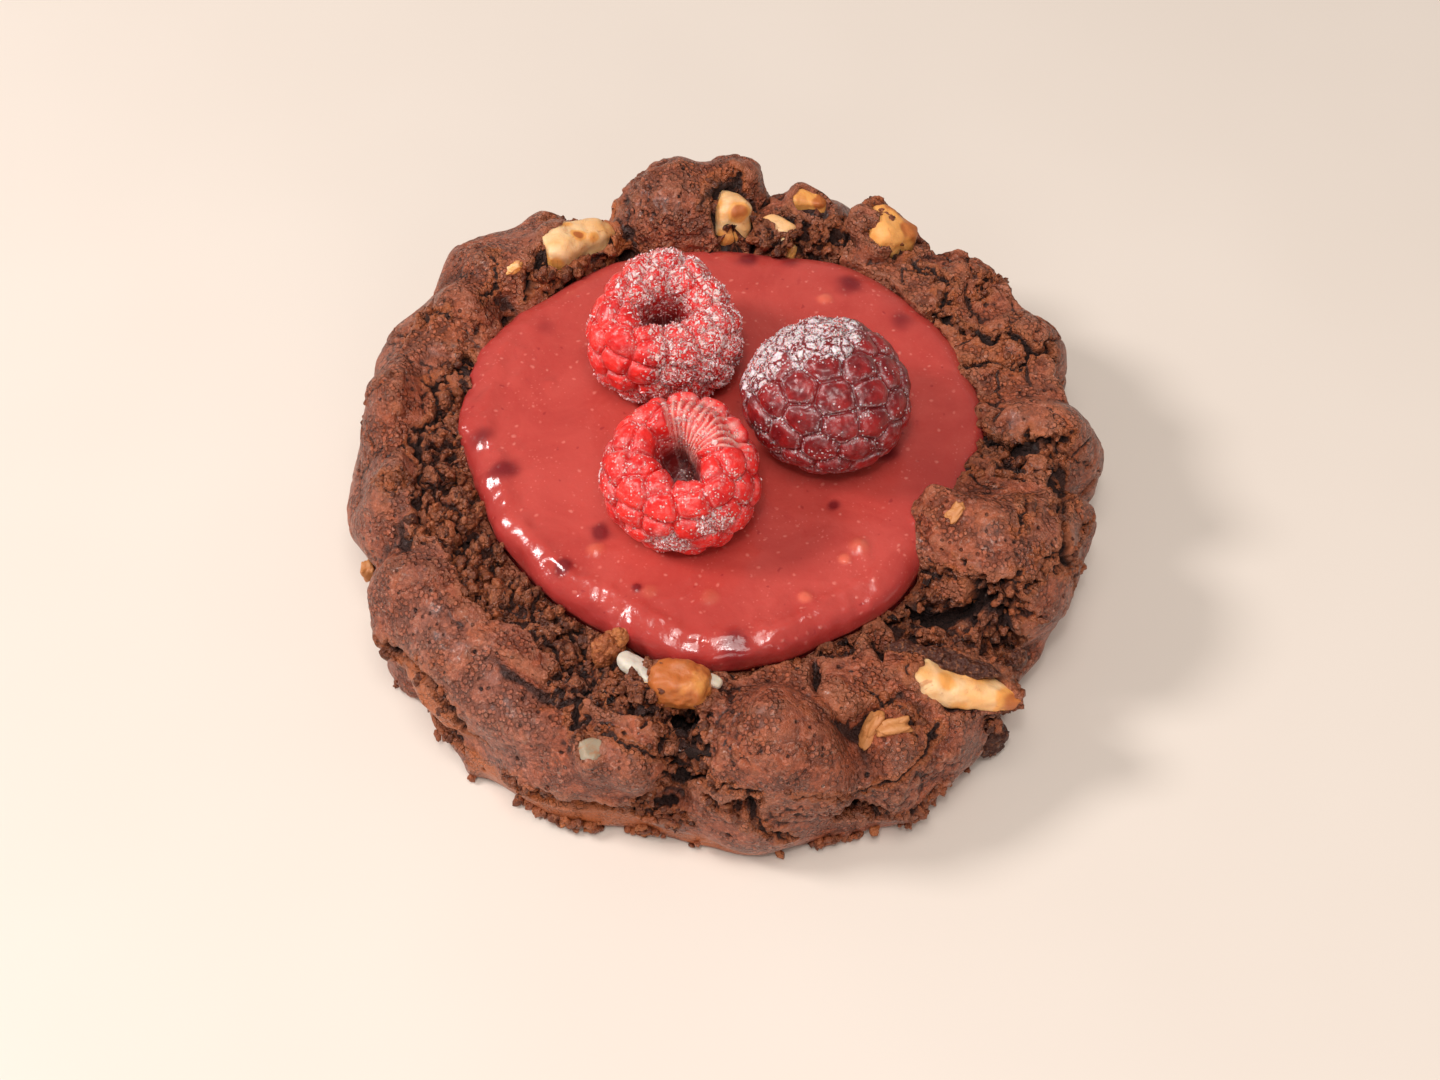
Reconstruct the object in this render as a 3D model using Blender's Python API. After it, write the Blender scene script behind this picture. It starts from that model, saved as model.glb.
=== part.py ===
"""Raspberry ganache cookie: a thick chocolate cookie with a well of ganache, berries and chunks.

Sizes are in millimetres and are scaled to metres as each mesh is made. The underside is at Z 0,
the cookie's middle is the origin, and its near side faces -Y. Angles run anticlockwise from +X.
"""

import math
from typing import NamedTuple

import bmesh
import bpy
from mathutils import Matrix, Vector, noise

MM = 0.001
GAP = 0.35
NOISE_SEED = 23

# The ring of dough: a core circle, and the surface as seen outwards from it
CORE_RADIUS = 38.3
CORE_HEIGHT = 8.0
RING_HALF_WIDTH = 6.4
RING_HALF_HEIGHT = 8.6
RING_SQUARENESS = 2.6
RING_COLUMNS = 148
RING_ROWS = 16
LOWEST_RAY = -44.0
LIP_CLEARANCE = 7.0
FOOT_INSET = 0.7
LOWEST_WALL_POINT = 1.1
LOBE_BLEND = 2.0
LOBE_WARP = 2.4
LOBE_WARP_SIZE = 9.0
SKIN_RADIUS = 13.0

# Relief of the dough: broad lumps on the skin, crags where it is torn
LUMP_SIZE = 7.5
LUMP_DEPTH = 1.5
CRAG_SIZE = 3.4
CRAG_DEPTH = 1.3
TORN_FROM_RAY = 88.0
TORN_TO_RAY = 108.0

# The ganache in its well
GANACHE_RADIUS = 30.4
GANACHE_SWAY = 3.2
GANACHE_CORNERS = 1.2
GANACHE_LEVEL = 20.4
GANACHE_EDGE_WIDTH = 4.2
GANACHE_EDGE_DROP = 2.6
GANACHE_COLUMNS = 72
GANACHE_RINGS = (0.45, 0.8, 0.88, 0.93, 0.965, 0.988, 1.0)
GANACHE_WAVE = 0.25
GANACHE_WAVE_SIZE = 5.0
WELL_FLOOR = 11.5
LIP_DROP = 3.0

# Raspberries: rings of drupelets as (latitude, count), and the section of a hollow one
DOME_RINGS = ((-90, 1), (-66, 6), (-42, 10), (-20, 13), (2, 13), (24, 12), (46, 9), (68, 5), (90, 1))
HOLLOW_RINGS = (
    (-90, 1),
    (-66, 6),
    (-42, 10),
    (-19, 13),
    (4, 13),
    (26, 13),
    (46, 11),
    (63, 8),
    (79, 6),
    (90, 1),
)
HOLLOW_PROFILE = (
    (-90, 0.0, -1.0),
    (-60, 0.56, -0.9),
    (-30, 0.9, -0.52),
    (0, 1.0, 0.0),
    (25, 0.96, 0.46),
    (42, 0.84, 0.8),
    (54, 0.66, 0.98),
    (63, 0.48, 0.9),
    (72, 0.3, 0.5),
    (82, 0.2, -0.1),
    (90, 0.0, -0.3),
)
HOLLOW_FROM = 70.0
DRUPELET_LIFT = 1.3
DRUPELET_RINGS = ((0.8, 0.62), (0.45, 0.92))
BERRY_FLAT = 1.2


# White chocolate shards, as shares of their half sizes
SHARD_BEVEL = 0.42
SHARD_WOBBLE = 0.3
SHARD_TAPER = 0.22


class Lobe(NamedTuple):
    """One bulge of dough, an ellipsoid placed by its angle round the cookie."""

    name: str
    angle: float
    radius: float
    height: float
    across: float
    along: float
    upright: float


class Dip(NamedTuple):
    """A stretch where the ring is slimmer: its middle, how much slimmer, and half its length."""

    angle: float
    depth: float
    width: float


class Crack(NamedTuple):
    """A split in the surface between two (angle round the cookie, ray angle) places."""

    name: str
    start: tuple
    end: tuple
    width: float
    depth: float


class Chunk(NamedTuple):
    """A shard of white chocolate: where it lies, its size, its turn, and if it is toasted."""

    name: str
    place: tuple
    size: tuple
    turn: tuple
    seed: int
    toasted: bool


class Berry(NamedTuple):
    """A raspberry: its place, half sizes, tilt, and the shapes of its outline and mouth."""

    name: str
    place: tuple
    radius: float
    height: float
    lean: tuple
    hollow: bool
    corner: float
    corner_angle: float
    mouth: float
    mouth_angle: float
    tear_angle: float
    tear_width: float


LOBES = (
    Lobe("right_mound", 6, 38.0, 10.5, 7.9, 7.6, 11.6),
    Lobe("right_far_mound", 25, 39.9, 10.4, 7.6, 8.4, 11.6),
    Lobe("far_right_knob", 41, 39.9, 10.6, 7.6, 7.4, 11.4),
    Lobe("far_right_ledge", 56, 39.2, 10.4, 7.2, 7.4, 11.2),
    Lobe("far_ledge", 73, 38.4, 10.6, 6.8, 8.0, 11.6),
    Lobe("far_mound", 99.5, 38.9, 12.6, 8.0, 9.6, 14.2),
    Lobe("far_mound_tip", 90, 41.4, 19.2, 3.2, 4.8, 6.8),
    Lobe("far_left_end", 122, 40.8, 11.0, 6.0, 6.0, 11.6),
    Lobe("far_left_roll", 133, 40.4, 10.4, 7.8, 10.0, 13.2),
    Lobe("left_roll", 150, 39.2, 9.6, 7.8, 12.0, 12.8),
    Lobe("left_near_roll", 169, 38.2, 9.4, 8.0, 12.0, 12.4),
    Lobe("left_end", 184, 38.1, 9.0, 7.8, 8.0, 11.6),
    Lobe("near_left_shoulder", 206, 37.0, 8.2, 8.0, 9.5, 11.2),
    Lobe("near_left_slope", 223, 36.8, 7.6, 7.6, 10.0, 10.6),
    Lobe("near_left_foot", 240, 37.0, 6.6, 7.6, 8.5, 9.4),
    Lobe("crumb_ball", 256, 38.0, 13.6, 4.6, 5.6, 4.8),
    Lobe("near_foot", 268, 36.4, 5.4, 6.9, 9.0, 7.2),
    Lobe("near_mound", 279, 36.8, 11.4, 7.9, 8.2, 12.2),
    Lobe("near_right_lump", 297, 38.8, 8.4, 8.0, 8.4, 9.8),
    Lobe("slab_on_chunk", 317, 37.0, 14.0, 6.4, 3.6, 4.2),
    Lobe("dark_clump", 316, 41.6, 3.0, 3.2, 3.2, 3.4),
    Lobe("near_right_mound", 336, 35.6, 11.8, 8.8, 9.8, 13.0),
    Lobe("right_shoulder", 350, 38.6, 8.8, 7.0, 7.4, 11.2),
    Lobe("left_skirt", 213, 41.0, 1.4, 3.4, 13.0, 1.6),
)

RING_DIPS = (
    Dip(334, 4.6, 16),
    Dip(208, 1.4, 24),
    Dip(260, 3.0, 8),
)

CRACKS = (
    Crack("left_seam", (195, -5), (199, 92), 1.5, 2.6),
    Crack("left_tear", (160, 97), (186, 106), 1.8, 3.0),
    Crack("near_crevice", (261, 12), (264, 118), 1.9, 4.2),
    Crack("mound_seam", (290, -10), (292, 100), 1.7, 2.8),
    Crack("chunk_crevice", (326, 10), (321, 118), 2.3, 5.2),
    Crack("right_crevice", (357, 5), (355, 110), 2.0, 4.4),
    Crack("right_seam", (15, 5), (16, 108), 1.5, 2.6),
    Crack("far_right_seam", (33, 50), (34, 110), 1.4, 2.0),
    Crack("far_seam", (64, 40), (66, 112), 1.4, 1.8),
    Crack("far_notch", (115, 20), (115, 112), 2.6, 3.0),
    Crack("left_roll_seam", (141, 70), (143, 112), 1.2, 1.4),
    Crack("skirt_gap", (204, -12), (226, -10), 1.2, 1.6),
)

CHUNKS = (
    Chunk("chunk_far_left", (-18.6, 32.6, 19.8), (10.4, 5.4, 4.4), (0, 14, 34), 3, False),
    Chunk("chunk_far", (1.2, 35.4, 20.8), (4.6, 4.0, 6.8), (-22, 0, 6), 5, False),
    Chunk("chunk_far_small", (6.8, 33.8, 20.3), (4.8, 3.0, 3.4), (0, 18, -40), 8, False),
    Chunk("chunk_far_crest", (10.8, 38.2, 20.8), (5.6, 3.6, 3.4), (0, 6, -12), 11, True),
    Chunk("chunk_far_right", (20.4, 33.6, 20.4), (7.0, 5.6, 4.6), (-14, 8, -48), 14, True),
    Chunk("chunk_near", (-5.8, -32.4, 18.2), (10.8, 4.2, 3.8), (0, 3, -12), 17, False),
    Chunk("chunk_near_small", (-14.2, -38.8, 15.6), (4.2, 3.8, 3.8), (0, 0, 20), 19, False),
    Chunk("chunk_near_right", (25.4, -30.0, 15.8), (14.4, 5.2, 3.6), (-16, 8, -10), 23, False),
)

BERRIES = (
    Berry("raspberry_left", (-7.2, 12.4), 8.1, 6.3, (10, 4, 0), True, 0.07, 90, 0.16, 20, 0, 0),
    Berry("raspberry_near", (-4.8, -8.8), 8.1, 6.4, (12, -6, 0), True, 0.03, 200, 0.3, 125, 55, 48),
    Berry("raspberry_right", (11.9, 2.1), 9.0, 7.4, (-8, 6, 0), False, 0.02, 70, 0.0, 0, 0, 0),
)

COOKIE_BROWN = (0.21, 0.075, 0.045)
GANACHE_PINK = (0.55, 0.075, 0.062)
BERRY_RED = (0.6, 0.045, 0.04)
BERRY_DARK = (0.26, 0.045, 0.05)
CHUNK_IVORY = (0.78, 0.52, 0.27)
CHUNK_CARAMEL = (0.72, 0.3, 0.09)


def clear_scene():
    for thing in list(bpy.data.objects):
        bpy.data.objects.remove(thing, do_unlink=True)


def finish(name, colour, roughness):
    """A plain Principled material."""
    material = bpy.data.materials.new(name)
    material.use_nodes = True
    shader = material.node_tree.nodes["Principled BSDF"]
    shader.inputs["Base Color"].default_value = (*colour, 1.0)
    shader.inputs["Roughness"].default_value = roughness
    shader.inputs["Metallic"].default_value = 0.0
    return material


def object_of(name, shape, material=None):
    """The bmesh, in millimetres, as a named object in metres."""
    bmesh.ops.scale(shape, vec=(MM, MM, MM), verts=shape.verts)
    mesh = bpy.data.meshes.new(name)
    shape.to_mesh(mesh)
    shape.free()
    thing = bpy.data.objects.new(name, mesh)
    bpy.context.scene.collection.objects.link(thing)
    if material:
        mesh.materials.append(material)
        mesh.shade_smooth()
    return thing


def polar(radius, angle, height):
    """A point by its radius, its angle in radians and its height."""
    return Vector((radius * math.cos(angle), radius * math.sin(angle), height))


def ease(low, high, value):
    """0 below low, 1 above high, and smooth between them."""
    share = min(max((value - low) / (high - low), 0.0), 1.0)
    return share * share * (3.0 - 2.0 * share)


def ganache_radius(angle):
    """The pool's outline: it reaches farther back, most of all in its two far corners."""
    sway = GANACHE_SWAY * math.sin(angle) + GANACHE_CORNERS * math.sin(3.0 * angle)
    ripple = 0.35 * math.sin(7.0 * angle + 0.6) + 0.2 * math.sin(13.0 * angle)
    return GANACHE_RADIUS + sway + ripple


def ganache_drop(share):
    """How far the top has curved down at this share of the outline's radius."""
    inwards = (1.0 - share) * GANACHE_RADIUS
    if inwards >= GANACHE_EDGE_WIDTH:
        return 0.0
    run = 1.0 - inwards / GANACHE_EDGE_WIDTH
    return GANACHE_EDGE_DROP * (1.0 - math.sqrt(1.0 - 0.96 * run * run)) / 0.8


def smooth_max(first, second, blend):
    near = max(blend - abs(first - second), 0.0) / blend
    return max(first, second) + near * near * blend * 0.25


def lobe_reach(lobe, start, ray):
    """How far along the ray the lobe's ellipsoid ends, or 0 where the ray misses it."""
    angle = math.radians(lobe.angle)
    turn = Matrix.Rotation(-angle, 3, "Z")
    centre = polar(lobe.radius, angle, lobe.height)
    sizes = (lobe.across, lobe.along, lobe.upright)
    begin = Vector(a / b for a, b in zip(turn @ (start - centre), sizes))
    along = Vector(a / b for a, b in zip(turn @ ray, sizes))
    square, half, rest = along.dot(along), begin.dot(along), begin.dot(begin) - 1.0
    inside = half * half - square * rest
    return max((math.sqrt(inside) - half) / square, 0.0) if inside > 0.0 else 0.0


def ring_reach(angle_deg, ray_angle):
    """The plain ring under the lobes, a rounded square in section, slimmer at some angles."""
    half_width = RING_HALF_WIDTH
    for dip in RING_DIPS:
        off = (angle_deg - dip.angle + 180.0) % 360.0 - 180.0
        half_width -= dip.depth * math.exp(-((off / dip.width) ** 2))
    wide = abs(math.cos(ray_angle)) / half_width
    tall = abs(math.sin(ray_angle)) / RING_HALF_HEIGHT
    return (wide**RING_SQUARENESS + tall**RING_SQUARENESS) ** (-1.0 / RING_SQUARENESS)


def crack_depth(angle, ray_angle):
    """How deep the cracks cut at this place, by distance over the surface from each."""

    def unrolled(angles):
        return Vector((CORE_RADIUS * math.radians(angles[0]), SKIN_RADIUS * math.radians(angles[1])))

    here = unrolled((angle, ray_angle))
    depth = 0.0
    for crack in CRACKS:
        start, end = unrolled(crack.start), unrolled(crack.end)
        share = (here - start).dot(end - start) / (end - start).length_squared
        nearest = start.lerp(end, min(max(share, 0.0), 1.0))
        apart = (here - nearest).length / crack.width
        depth = max(depth, crack.depth * math.exp(-apart * apart))
    return depth


def dough_point(angle_deg, ray_deg):
    """The dough's surface where a ray from the core circle leaves it."""
    angle, ray_angle = math.radians(angle_deg), math.radians(ray_deg)
    start = polar(CORE_RADIUS, angle, CORE_HEIGHT)
    ray = polar(math.cos(ray_angle), angle, math.sin(ray_angle))
    reach = ring_reach(angle_deg, ray_angle)
    warped = start + noise.noise_vector((start + ray * reach) / LOBE_WARP_SIZE) * LOBE_WARP
    for lobe in LOBES:
        reach = smooth_max(reach, lobe_reach(lobe, warped, ray), LOBE_BLEND)
    place = start + ray * reach
    torn = ease(TORN_FROM_RAY, TORN_TO_RAY, ray_deg)
    reach += LUMP_DEPTH * noise.noise(place / LUMP_SIZE)
    reach += CRAG_DEPTH * (0.5 + 0.5 * torn) * noise.noise(place / CRAG_SIZE + Vector((9, 4, 2)))
    reach -= crack_depth(angle_deg, ray_deg)
    place = start + ray * reach
    inner = ganache_radius(angle) + GAP + 0.15
    flat = Vector((place.x, place.y))
    if ray_deg > 90.0 and flat.length < inner:
        flat = flat.normalized() * inner
    return Vector((flat.x, flat.y, max(place.z, LOWEST_WALL_POINT)))


def dough_section(angle_deg):
    """One slice of the ring: its foot, its rays, the lip, and the well's wall."""
    angle = math.radians(angle_deg)
    inner = ganache_radius(angle) + GAP
    lip = polar(inner, angle, GANACHE_LEVEL - LIP_DROP)
    lip_ray = math.degrees(math.atan2(lip.z - CORE_HEIGHT, inner - CORE_RADIUS))
    step = (lip_ray - LIP_CLEARANCE - LOWEST_RAY) / (RING_ROWS - 1)
    wall = [dough_point(angle_deg, LOWEST_RAY + row * step) for row in range(RING_ROWS)]
    foot_radius = math.hypot(wall[0].x, wall[0].y) - FOOT_INSET
    foot = polar(foot_radius, angle, 0.0)
    return [foot, *wall, lip, polar(inner, angle, WELL_FLOOR)]


def loft(shape, sections):
    """Bridges closed rings of points into a skin, row by row."""
    grid = [[shape.verts.new(point) for point in section] for section in sections]
    columns, rows = len(grid), len(grid[0])
    for column in range(columns):
        near, far = grid[column], grid[(column + 1) % columns]
        for row in range(rows - 1):
            shape.faces.new((near[row], far[row], far[row + 1], near[row + 1]))
    return grid


def cookie(material):
    shape = bmesh.new()
    grid = loft(shape, [dough_section(c * 360.0 / RING_COLUMNS) for c in range(RING_COLUMNS)])
    shape.faces.new([column[0] for column in reversed(grid)])
    shape.faces.new([column[-1] for column in grid])
    bmesh.ops.triangulate(shape, faces=shape.faces[:])
    bmesh.ops.recalc_face_normals(shape, faces=shape.faces)
    return object_of("cookie", shape, material)


def ganache(material):
    """The pool: a flat middle, an edge that rounds down, a wall and a flat underside."""
    shape = bmesh.new()
    sections = []
    for column in range(GANACHE_COLUMNS):
        angle = 2.0 * math.pi * column / GANACHE_COLUMNS
        edge = ganache_radius(angle)
        top = []
        for share in GANACHE_RINGS:
            place = polar(edge * share, angle, GANACHE_LEVEL - ganache_drop(share))
            place.z += GANACHE_WAVE * ease(0.7, 0.9, share) * noise.noise(place / GANACHE_WAVE_SIZE)
            top.append(place)
        sections.append([polar(edge, angle, WELL_FLOOR + GAP), *reversed(top)])
    grid = loft(shape, sections)
    shape.faces.new([column[0] for column in reversed(grid)])
    shape.faces.new([column[-1] for column in grid])
    bmesh.ops.triangulate(shape, faces=shape.faces[:])
    bmesh.ops.recalc_face_normals(shape, faces=shape.faces)
    return object_of("ganache", shape, material)


def shard(chunk, grow=0.0):
    """An angular shard: a rounded block whose corners are pushed about at random."""
    shape = bmesh.new()
    bmesh.ops.create_cube(shape, size=2.0)
    bmesh.ops.bevel(
        shape, geom=shape.edges[:], offset=SHARD_BEVEL, segments=1, profile=0.5, affect="EDGES"
    )
    bmesh.ops.triangulate(shape, faces=shape.faces[:])
    half = Vector(chunk.size) / 2.0
    turn = Matrix.Rotation(math.radians(chunk.turn[2]), 3, "Z")
    turn @= Matrix.Rotation(math.radians(chunk.turn[1]), 3, "Y")
    turn @= Matrix.Rotation(math.radians(chunk.turn[0]), 3, "X")
    for vert in shape.verts:
        wobble = SHARD_WOBBLE * noise.noise_vector(vert.co * 0.9 + Vector((chunk.seed, 0.0, 0.0)))
        taper = 1.0 - SHARD_TAPER * vert.co.x * (1.0 if chunk.seed % 2 else -1.0)
        place = Vector((vert.co.x, vert.co.y * taper, vert.co.z * taper)) + wobble
        local = Vector(share * (size + grow) for share, size in zip(place, half))
        vert.co = turn @ local + Vector(chunk.place)
    bmesh.ops.recalc_face_normals(shape, faces=shape.faces)
    return shape


def cut_away(body, cutter):
    """Takes the cutter out of the body, then removes the cutter."""
    cut = body.modifiers.new("cut", "BOOLEAN")
    cut.operation = "DIFFERENCE"
    cut.solver = "EXACT"
    cut.object = cutter
    apply_modifier(body, cut)
    bpy.data.objects.remove(cutter, do_unlink=True)


def apply_modifier(body, modifier):
    bpy.context.view_layer.objects.active = body
    with bpy.context.temp_override(object=body, active_object=body, selected_objects=[body]):
        bpy.ops.object.modifier_apply(modifier=modifier.name)


def keep_largest(body):
    """Drops the loose scraps that a cut can leave."""
    shape = bmesh.new()
    shape.from_mesh(body.data)
    left, islands = set(shape.verts), []
    while left:
        island, edge = set(), [next(iter(left))]
        while edge:
            vert = edge.pop()
            if vert in island:
                continue
            island.add(vert)
            edge.extend(link.other_vert(vert) for link in vert.link_edges)
        islands.append(island)
        left -= island
    largest = max(islands, key=len)
    bmesh.ops.delete(shape, geom=[v for v in shape.verts if v not in largest], context="VERTS")
    shape.to_mesh(body.data)
    shape.free()


def berry_profile(berry, latitude):
    """Radius and height of the flesh at a latitude, as shares of the berry's half sizes."""
    if not berry.hollow:
        slope = math.radians(latitude)
        return Vector((math.cos(slope), math.sin(slope)))
    below, above = HOLLOW_PROFILE[-2:]
    for low, high in zip(HOLLOW_PROFILE, HOLLOW_PROFILE[1:]):
        if latitude < high[0]:
            below, above = low, high
            break
    share = (latitude - below[0]) / (above[0] - below[0])
    return Vector(below[1:]).lerp(Vector(above[1:]), share)


def berry_point(berry, direction, lift):
    """The flesh's point for a direction from the middle, lifted off it by some millimetres."""
    latitude = math.degrees(math.asin(min(max(direction.z, -1.0), 1.0)))
    around = math.atan2(direction.y, direction.x)
    here = berry_profile(berry, latitude)
    ahead = berry_profile(berry, min(latitude + 4.0, 90.0))
    behind = berry_profile(berry, max(latitude - 4.0, -90.0))
    rise = Vector(((ahead - behind).x * berry.radius, (ahead - behind).y * berry.height))
    out = polar(rise.y, around, -rise.x).normalized()
    corners = 1.0 + berry.corner * math.cos(3.0 * (around - math.radians(berry.corner_angle)))
    mouth = ease(50.0, 72.0, latitude) * math.cos(2.0 * (around - math.radians(berry.mouth_angle)))
    radius = here.x * berry.radius * corners * (1.0 + berry.mouth * mouth)
    return polar(radius, around, here.y * berry.height) + out * lift


def drupelet_lift(berry, direction):
    """How far a drupelet stands out: nothing in the hollow, nor where the berry is torn open."""
    latitude = math.degrees(math.asin(min(max(direction.z, -1.0), 1.0)))
    if berry.hollow and latitude > HOLLOW_FROM:
        return 0.0
    around = math.degrees(math.atan2(direction.y, direction.x)) - berry.tear_angle
    off = abs((around + 180.0) % 360.0 - 180.0)
    if berry.tear_width and off < berry.tear_width and latitude > 30.0:
        return 0.0
    return DRUPELET_LIFT * (1.0 + 0.2 * noise.noise(direction * 4.0))


def berry_directions(berry):
    """Unit directions of the drupelets, in staggered rings."""
    rings = HOLLOW_RINGS if berry.hollow else DOME_RINGS
    spots = []
    for number, (latitude, count) in enumerate(rings):
        for step in range(count):
            around = 2.0 * math.pi * (step + 0.5 * (number % 2) + 0.13 * number) / count
            jitter = noise.noise_vector(Vector((number * 3.1, step * 1.7, berry.corner_angle)))
            slope = math.radians(latitude + 3.0 * jitter.x * (count > 1))
            around += 0.09 * jitter.y
            spots.append(polar(math.cos(slope), around, math.sin(slope)))
    return spots


def drupelet(shape, berry, middle, corners):
    """One drupelet: a dome over the cell that its neighbours leave it."""
    lift = drupelet_lift(berry, middle)
    side = middle.orthogonal().normalized()
    up = middle.cross(side)
    corners.sort(key=lambda corner: math.atan2(corner[0].dot(up), corner[0].dot(side)))
    ring = [vert for _, vert in corners]
    for share, rise in DRUPELET_RINGS if lift else ():
        inner = []
        for direction, _ in corners:
            inwards = middle.lerp(direction, share).normalized()
            inner.append(shape.verts.new(berry_point(berry, inwards, lift * rise)))
        for step in range(len(ring)):
            after = (step + 1) % len(ring)
            shape.faces.new((ring[step], ring[after], inner[after], inner[step]))
        ring = inner
    top = shape.verts.new(berry_point(berry, middle, lift))
    for step in range(len(ring)):
        shape.faces.new((ring[step], ring[(step + 1) % len(ring)], top))


def raspberry(berry, material):
    """Drupelets packed over the flesh, cut flat where the berry meets the ganache."""
    hull = bmesh.new()
    for direction in berry_directions(berry):
        hull.verts.new(direction)
    bmesh.ops.convex_hull(hull, input=hull.verts)
    shape = bmesh.new()
    valleys = {}
    for face in hull.faces:
        direction = face.normal.normalized()
        valleys[face] = (direction, shape.verts.new(berry_point(berry, direction, 0.0)))
    for vert in hull.verts:
        drupelet(shape, berry, vert.co.normalized(), [valleys[f] for f in vert.link_faces])
    hull.free()
    turn = Matrix.Rotation(math.radians(berry.lean[0]), 3, "X")
    turn @= Matrix.Rotation(math.radians(berry.lean[1]), 3, "Y")
    turn @= Matrix.Rotation(math.radians(berry.lean[2]), 3, "Z")
    bottom = GANACHE_LEVEL + GAP
    centre = Vector((*berry.place, bottom + berry.height - BERRY_FLAT))
    for vert in shape.verts:
        vert.co = turn @ vert.co + centre
    bmesh.ops.bisect_plane(
        shape,
        geom=shape.verts[:] + shape.edges[:] + shape.faces[:],
        plane_co=(0.0, 0.0, bottom),
        plane_no=(0.0, 0.0, -1.0),
        clear_outer=True,
    )
    bmesh.ops.holes_fill(shape, edges=[e for e in shape.edges if e.is_boundary])
    bmesh.ops.triangulate(shape, faces=shape.faces[:])
    bmesh.ops.recalc_face_normals(shape, faces=shape.faces)
    return object_of(berry.name, shape, material)


def build():
    clear_scene()
    noise.seed_set(NOISE_SEED)
    dough = finish("dough", COOKIE_BROWN, 0.85)
    filling = finish("filling", GANACHE_PINK, 0.2)
    red = finish("berry_red", BERRY_RED, 0.4)
    dark = finish("berry_dark", BERRY_DARK, 0.5)
    ivory = finish("ivory", CHUNK_IVORY, 0.4)
    caramel = finish("caramel", CHUNK_CARAMEL, 0.4)
    body = cookie(dough)
    ganache(filling)
    for chunk in CHUNKS:
        cut_away(body, object_of("pocket", shard(chunk, GAP)))
        object_of(chunk.name, shard(chunk), caramel if chunk.toasted else ivory)
    keep_largest(body)
    for berry in BERRIES:
        raspberry(berry, red if berry.hollow else dark)


build()
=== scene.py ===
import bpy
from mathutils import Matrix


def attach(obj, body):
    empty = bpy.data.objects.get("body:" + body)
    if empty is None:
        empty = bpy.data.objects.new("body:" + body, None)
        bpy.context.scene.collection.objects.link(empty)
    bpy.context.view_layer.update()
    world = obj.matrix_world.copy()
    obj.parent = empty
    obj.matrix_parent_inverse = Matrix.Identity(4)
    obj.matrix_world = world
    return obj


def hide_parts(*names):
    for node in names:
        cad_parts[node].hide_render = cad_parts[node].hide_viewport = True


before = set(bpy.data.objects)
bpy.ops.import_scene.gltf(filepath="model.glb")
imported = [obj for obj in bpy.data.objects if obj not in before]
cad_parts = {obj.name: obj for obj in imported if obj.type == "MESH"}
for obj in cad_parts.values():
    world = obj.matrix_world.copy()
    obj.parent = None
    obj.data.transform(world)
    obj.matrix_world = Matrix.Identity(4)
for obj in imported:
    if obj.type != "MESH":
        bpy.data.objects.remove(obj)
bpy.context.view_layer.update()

import math
import random

import bpy
import numpy as np
from mathutils import Matrix, Vector, kdtree, noise
from mathutils.bvhtree import BVHTree

mm = 0.001
noise.seed_set(23)


# Selecting, modifiers, and reading and moving points, all places in millimetres

def selectOnly(*pieces):
    bpy.ops.object.select_all(action="DESELECT")
    for piece in pieces:
        piece.select_set(True)
    bpy.context.view_layer.objects.active = pieces[0]


def useModifier(piece, kind, **settings):
    selectOnly(piece)
    modifier = piece.modifiers.new(kind.title(), kind)
    for key, value in settings.items():
        setattr(modifier, key, value)
    bpy.ops.object.modifier_apply(modifier=modifier.name)


def remeshed(piece, voxel):
    useModifier(piece, "REMESH", mode="VOXEL", voxel_size=voxel * mm, use_smooth_shade=True)


def grown(piece, amount):
    useModifier(piece, "DISPLACE", strength=amount * mm, mid_level=0.0)


def softened(piece, rounds):
    useModifier(piece, "SMOOTH", factor=0.5, iterations=rounds)


def joinInto(piece, *others):
    selectOnly(piece, *others)
    bpy.ops.object.join()


def copyOfNode(node, name):
    piece = bpy.data.objects.new(name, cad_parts[node].data.copy())
    bpy.context.scene.collection.objects.link(piece)
    piece.data.materials.clear()
    selectOnly(piece)
    bpy.ops.mesh.customdata_custom_splitnormals_clear()
    bpy.ops.object.mode_set(mode="EDIT")
    bpy.ops.mesh.select_all(action="SELECT")
    bpy.ops.mesh.remove_doubles(threshold=0.001 * mm)
    bpy.ops.mesh.normals_make_consistent(inside=False)
    bpy.ops.object.mode_set(mode="OBJECT")
    return piece


def placesOf(piece):
    spots = np.empty(len(piece.data.vertices) * 3)
    piece.data.vertices.foreach_get("co", spots)
    return spots.reshape(-1, 3) / mm


def waysOf(piece):
    ways = np.empty(len(piece.data.vertices) * 3, np.float32)
    piece.data.vertex_normals.foreach_get("vector", ways)
    return ways.reshape(-1, 3).astype(float)


def moveTo(piece, spots):
    piece.data.vertices.foreach_set("co", (spots * mm).ravel())
    piece.data.update()


def keepValue(piece, name, values):
    # a number at each point, which the materials read by its name
    layer = piece.data.attributes.new(name, "FLOAT", "POINT")
    layer.data.foreach_set("value", np.asarray(values, np.float32))


def readValue(piece, name):
    values = np.empty(len(piece.data.vertices), np.float32)
    piece.data.attributes[name].data.foreach_get("value", values)
    return values


def newBall(subdivisions, name="ball", radius=1.0):
    # a ball to shape, and its points as plain numbers up to its radius
    bpy.ops.object.select_all(action="DESELECT")
    bpy.ops.mesh.primitive_ico_sphere_add(subdivisions=subdivisions, radius=radius)
    piece = bpy.context.active_object
    piece.name = name
    return piece, placesOf(piece) * mm


def spin(degrees, axis="Z"):
    return Matrix.Rotation(math.radians(degrees), 3, axis)


def flatDistance(spots, x=0.0, y=0.0):
    return np.hypot(spots[:, 0] - x, spots[:, 1] - y)


def placed(spots, turn, at):
    return spots @ np.array(turn).T + np.array(at)


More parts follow.
